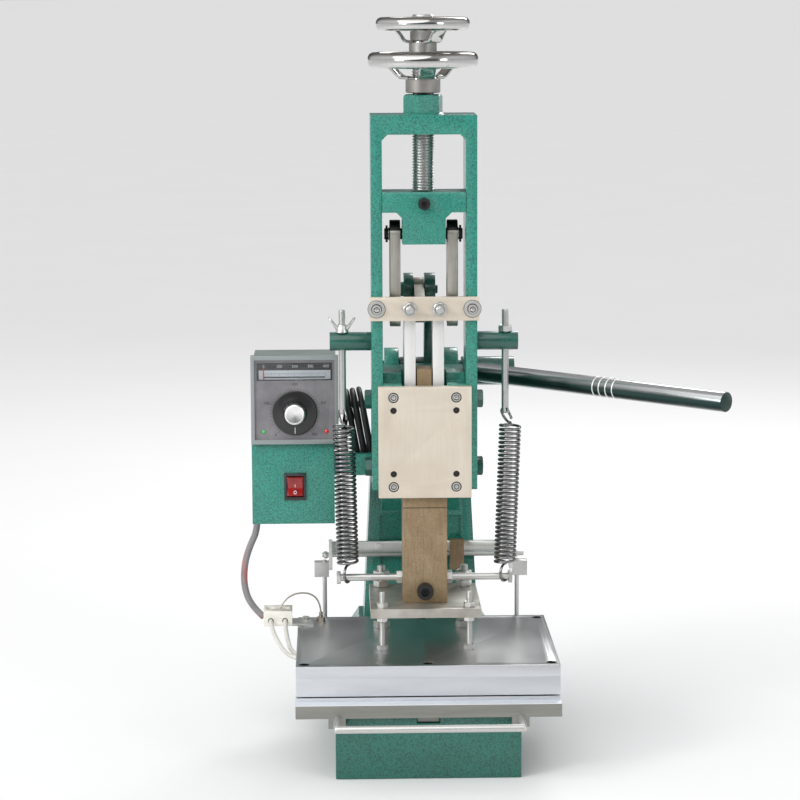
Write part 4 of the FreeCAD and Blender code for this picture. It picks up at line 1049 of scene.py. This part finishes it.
def make_fasteners():
    screws, painted_shade_rings = Builder(), Builder()
    for across in (-33.7, 33.7):
        for height in (396, 299):
            screws.socket_head(4.75, 6, 2.6, (across, -28, height), "Y", True)
            # painted shade: thin black rings sit in the narrow space round each screw head and round its
            # socket
            painted_shade_rings.disc(5.5, 1.0, (across, -33.2, height), "Y", 4.6, 0.05)
            painted_shade_rings.disc(3.15, 0.3, (across, -34.15, height), "Y", 2.45, 0.02)
        outer = math.copysign(51.2, across)
        # painted shade: black rings round the plate screws' washers and heads, and round their sockets
        painted_shade_rings.disc(9.5, 0.5, (outer, -30.6, PLATE_HEIGHT), "Y", 8.0, 0.05)
        painted_shade_rings.disc(5.7, 0.4, (outer, -32.0, PLATE_HEIGHT), "Y", 4.9, 0.05)
        painted_shade_rings.disc(3.2, 0.3, (outer, -37.75, PLATE_HEIGHT), "Y", 2.45, 0.02)
    painted_shade_rings.done("screw_rings_painted_shade", "black_oxide", "frame", "black_steel")
    platen_heads_and_painted_shade = Builder()
    for across in (-131, 0, 131):
        for back in (-104, 104):
            # painted shade: a black sleeve lines each counterbore round the black screw head
            platen_heads_and_painted_shade.disc(5.45, 8.75, (across, back, 113.2), bore=4.7, edge=0.1)
            platen_heads_and_painted_shade.socket_head(4.6, 5.4, 2.4, (across, back, 113.3))
    platen_heads_and_painted_shade.done("platen_screws_and_painted_shade", "black_oxide", "ram", "black_steel")
    for across in (-51.2, 51.2):
        screws.disc(9, 1.6, (across, -31.6, PLATE_HEIGHT), "Y", 3.2)
        screws.socket_head(5.0, 6, 2.6, (across, -31.6, PLATE_HEIGHT), "Y", True)
    screws.done("plate_screw_heads", "zinc", "frame", "zinc_steel", "plate_screws")

    studs = Builder()
    for across in (-16, 16):
        studs.thread(4, 1.25, 18, (across, -30, PLATE_HEIGHT), "Y", flip=True)
        studs.disc(3.9, 14.6, (across, -29.9, PLATE_HEIGHT), "Y")
        studs.disc(8, 1.2, (across, -31.2, PLATE_HEIGHT), "Y", 3.2)
        studs.hexagon(13, 5.3, (across, -31.2, PLATE_HEIGHT), "Y", bore=3.6, flip=True, turn=across)
    studs.done("stop_stud_body", "zinc", "frame", "zinc_steel", "stop_studs")

    rings = Builder()
    start, along = Vector((58, 94.2, 406)), Vector((249, -241.2, 0)).normalized()
    aside, above = Vector((0, 0, 1)).cross(along), Vector((0, 0, 1))
    for distance in (178, 186.5, 195.5, 204.5):
        centre = start + along * distance
        vertices = [centre + (aside * c + above * d) * (10.45 + 0.6 * e) + along * 0.7 * f
                    for c, d in around(60) for e, f in around(8)]
        rings.add(vertices, skin(60, 8, True), (0, 0, 0))
    rings.done("lever_rings", "bright_bar", "lever", "polished_steel")

    bolts = Builder()
    for number, (side, height) in enumerate([(1, 389), (1, 315), (-1, 389), (-1, 315)]):
        bolts.hexagon(18, 7.5, (side * 56.7, 5, height), "X", both=False, flip=side < 0,
                      turn=17 * number)
    bolts.done("cheek_bolt_heads", "smooth_green", "frame", "green_paint", "cheek_bolts")

    hangers = Builder()
    for across in (-47, 47):
        hangers.thread(3.5, 1.25, 74, (across, -42, 112))
        for level, turn in ((122, 8), (153.6, 25), (169, 40)):
            hangers.hexagon(11.0, 5.4, (across, -42, level), bore=3.2, turn=turn)
    for across in (-46, 46):
        hangers.thread(5, 1.5, 81, (across, 62, 112))
        for level, turn in ((122, 5), (151, 31), (169, 12), (179, 47)):
            hangers.hexagon(15.9, 8 if level != 169 else 7.6, (across, 62, level), bore=4.6, turn=turn)
    for side in (-1, 1):
        flip = side < 0
        hangers.disc(3.9, 69, (24 if side > 0 else -93, 0, 193), "X")
        hangers.disc(4.15, 15, (24 if side > 0 else -39, 0, 193), "X")
        for near, wide, turn in ((24, 6.5, 10), (91.5, 4.5, 21)):
            hangers.hexagon(13, wide, (side * near, 0, 193), "X", bore=3.6 if near < 90 else 0.0,
                            flip=flip, turn=turn)
    hangers.done("ram_fixing_steel", "zinc", "ram", "zinc_steel", "ram_fixings")
    cap = Builder()
    cap.socket_head(9, 12, 5.0, (0, -24, 183), "Y", True)
    cap.done("ram_cap_screw", "black_oxide", "ram", "black_steel")
    grub = Builder()
    grub.socket_head(6.5, 8, 3.4, (0, -25, 603), "Y", True)
    grub.done("slider_cap_screw", "black_oxide", "slider", "black_steel", "slider_screw")

    painted_hole_shade = Builder()
    # painted shade: a black disc sits just inside each hole in the cover plate
    for across in (-33.7, 33.7):
        for height in (382, 313):
            painted_hole_shade.turned([(0.001, 0), (3.2, 0), (3.4, 0.4), (3.45, 1.0), (0.001, 1.0)],
                         (across, -33.2, height), "Y", 32)
    painted_hole_shade.done("cover_hole_painted_shade", "black_oxide", "frame", "black_steel")

    pins = Builder()
    for side in (-1, 1):
        pins.disc(6.9, 1.0, (side * 37.4 - 0.5, 0, 569), "X", 6.05)
    pins.done("pin_washers", "screw_steel", "slider", "dull_link")


# ---------------------------------------------------------------- meter and switch
def writing(text, size, at):
    """Flat raised figures that face the operator."""
    curve = bpy.data.curves.new("figure", "FONT")
    curve.body = text
    curve.size = size * MM
    curve.align_x = "CENTER"
    curve.align_y = "CENTER"
    curve.extrude = 0.0001
    curve.resolution_u = 3
    maker = linked(bpy.data.objects.new("figure", curve))
    maker.matrix_world = Matrix.Translation(Vector(at) * MM) @ Matrix.Rotation(math.pi / 2, 4, "X")
    bpy.context.view_layer.update()
    mesh = bpy.data.meshes.new_from_object(maker)
    mesh.transform(maker.matrix_world)
    bpy.data.objects.remove(maker)
    return mesh


def joined(name, meshes, material, body, slot, *replaced):
    """One piece made of several meshes."""
    whole = bmesh.new()
    for mesh in meshes:
        whole.from_mesh(mesh)
        bpy.data.meshes.remove(mesh)
    made = bpy.data.meshes.new(name)
    whole.to_mesh(made)
    whole.free()
    return add_object(name, made, material, body, slot, *replaced, smooth=False)


def bar(low, high):
    """A small box between two corners, as a mesh in metres."""
    corners = [(x, y, z) for x in (low[0], high[0]) for y in (low[1], high[1])
               for z in (low[2], high[2])]
    faces = [(0, 1, 3, 2), (4, 6, 7, 5), (0, 4, 5, 1), (2, 3, 7, 6), (0, 2, 6, 4), (1, 5, 7, 3)]
    return mesh_from("bar", [tuple(v * MM for v in c) for c in corners], faces)


def radial_tick(angle, near, far, wide, front):
    """A thin stroke that points at the dial's centre. The angle is clockwise from straight up."""
    out = Vector((math.sin(angle), 0, math.cos(angle)))
    side = Vector((out.z, 0, -out.x)) * wide / 2
    base = Vector((DIAL_CENTRE[0], front, DIAL_CENTRE[1]))
    deep = Vector((0, 0.12, 0))
    flat = [base + out * near - side, base + out * near + side, base + out * far + side,
            base + out * far - side]
    vertices = [tuple(v * MM) for v in flat + [v + deep for v in flat]]
    return mesh_from("tick", vertices, [(0, 1, 2, 3), (7, 6, 5, 4), (0, 4, 5, 1), (1, 5, 6, 2),
                                        (2, 6, 7, 3), (3, 7, 4, 0)])


DIAL_CENTRE = (-140.2, 369.6)
DIAL_SWEEP = 280
SCALE_START, SCALE_LONG = -174.0, 68.0
FIGURES = ("0", "100", "200", "300", "400")


def make_meter():
    dark, light, faint = [], [], []
    cx, cz = DIAL_CENTRE
    for step in range(41):
        angle = math.radians(DIAL_SWEEP * (step / 40 - 0.5))
        far = 29.2 if step % 10 == 0 else 27.6
        faint.append(radial_tick(angle, 25.6, far, 0.35, 37.88))
    for number, text in enumerate(FIGURES):
        angle = math.radians(DIAL_SWEEP * (number / 4 - 0.5))
        place = (cx + 33.0 * math.sin(angle), 37.95, cz + 31.6 * math.cos(angle))
        faint.append(writing(text, 4.2, place))
        light.append(writing(text, 4.4, (SCALE_START + SCALE_LONG * number / 4, 41.9, 420.3)))
    for step in range(41):
        across = SCALE_START + SCALE_LONG * step / 40
        tall = 3.2 if step % 10 == 0 else (2.3 if step % 5 == 0 else 1.6)
        dark.append(bar((across - 0.14, 42.05, 413.6 - tall), (across + 0.14, 42.25, 413.6)))
    joined("scale_ticks", dark, "print_dark", "frame", "black_plastic")
    joined("panel_marks", faint, "print_dark", "frame", "black_plastic")
    joined("scale_figures", light, "print_white", "frame", "scale_white")

    back = [bar((-181.6, 42.0, 416.2), (-98.9, 42.2, 426.8)),
            bar((-181.6, 42.0, 403.2), (-98.9, 42.2, 406.2)),
            bar((-181.6, 42.0, 406.2), (-179.4, 42.2, 416.2)),
            bar((-101.1, 42.0, 406.2), (-98.9, 42.2, 416.2)),
            bar((-173.5, 42.0, 408.0), (-107.0, 42.19, 409.3))]
    joined("scale_mask", back, "black_gloss", "frame", "black_plastic")

    for name, across, glow in (("lamp_left", -174.5, "lamp_green"),
                               ("lamp_right", -105.7, "lamp_red")):
        dome = Builder()
        dome.turned([(0.001, 0), (2.4, 0), (2.4, 3.6), (2.2, 4.4), (1.5, 5.0), (0.7, 5.3), (0.001, 5.4)],
                    (across, 42.4, 348.6), "Y", 28, True)
        dome.done(name, glow, "frame", "lamp", "lamps")

    dial = Builder()
    dial.turned([(0.001, 0), (24.0, 0), (24.6, 0.5), (24.6, 1.6), (23.6, 2.4), (16.0, 3.0),
                 (14.6, 3.6), (0.001, 3.6)], (cx, 37.9, cz), "Y", 96, True)
    sides = 120
    vertices = []
    for radius, height, ripple in ((13.9, 2.8, 0.0), (13.6, 3.4, 0.5), (12.6, 10.2, 0.5),
                                   (12.0, 11.4, 0.0), (11.0, 11.8, 0.0), (0.02, 11.8, 0.0)):
        for s, (c, d) in enumerate(around(sides)):
            fluted = radius - ripple * (0.5 + 0.5 * math.cos(24 * TURN * s / sides))
            vertices.append((fluted * c, fluted * d, height))
    dial.add(vertices, skin(6, sides, capped=False), (cx, 37.9, cz), "Y", True)
    dial.disc(3, 10, (cx, 38, cz), "Y")
    dial.done("dial_knob", "black_gloss", "dial", "black_plastic", "dial")
    mark = radial_tick(math.pi, 15.5, 22.8, 0.6, 34.85)
    joined("dial_mark", [mark], "print_white", "dial", "scale_white")

    cap = Builder()
    cap.turned([(0.001, 0), (11.2, 0), (11.5, 0.4), (11.5, 5.6), (11.1, 6.6), (10.2, 7.4), (9.4, 7.7),
                (8.8, 7.5), (0.001, 7.1)], (cx, 29, cz), "Y", 96, True)
    cap.done("dial_cap_spun", "spun_cap", "dial", "spun_cap", "dial_cap")


SWITCH_CENTRE = (-140.9, 286.5)


def make_switch():
    cx, cz = SWITCH_CENTRE
    columns, rows = 20, 24
    vertices, faces = [], []
    for row in range(rows + 1):
        v = row / rows * 2 - 1
        for column in range(columns + 1):
            u = column / columns * 2 - 1
            rim = 1.1 * (max(0.0, (abs(u) - 0.9) / 0.1) ** 2 + max(0.0, (abs(v) - 0.93) / 0.07) ** 2)
            saddle = 1.9 * (1 - math.cos(v * math.pi / 2))
            vertices.append((cx + u * 9.1, 42.0 - saddle + rim, cz + v * 10.6))
    start = len(vertices)
    vertices += [(x, 49, z) for x, _, z in vertices]
    wide = columns + 1
    for row in range(rows):
        for column in range(columns):
            a = row * wide + column
            faces.append((a, a + 1, a + wide + 1, a + wide))
            faces.append((start + a + wide, start + a + wide + 1, start + a + 1, start + a))
    edge = ([c for c in range(columns)] + [r * wide + columns for r in range(rows)]
            + [rows * wide + c for c in range(columns, 0, -1)] + [r * wide for r in range(rows, 0, -1)])
    for a, b in zip(edge, edge[1:] + edge[:1]):
        faces.append((b, a, start + a, start + b))
    rocker = Builder()
    rocker.add(vertices, faces, (0, 0, 0))
    rocker = rocker.done("switch_rocker", "rocker_red", "rocker", "red_plastic", "rocker", angle=50)
    count = 24
    vertices = [(cx + 1.7 * c * share, 40.6 + depth, cz - 6.2 + 2.0 * d * share)
                for depth, share in ((0.0, 1.0), (0.0, 0.68), (0.5, 0.68), (0.5, 1.0))
                for c, d in around(count)]
    marks = [mesh_from("off_mark", [tuple(c * MM for c in v) for v in vertices],
                       skin(4, count, True)),
             bar((cx - 0.3, 41.75, cz - 0.6), (cx + 0.3, 42.4, cz + 2.6))]
    joined("switch_marks", marks, "print_white", "rocker", "scale_white")


make_mains()
make_cables()
make_springs()
make_eye_bolts()
make_wing_nut()
make_screw()
make_fasteners()
make_meter()
make_switch()
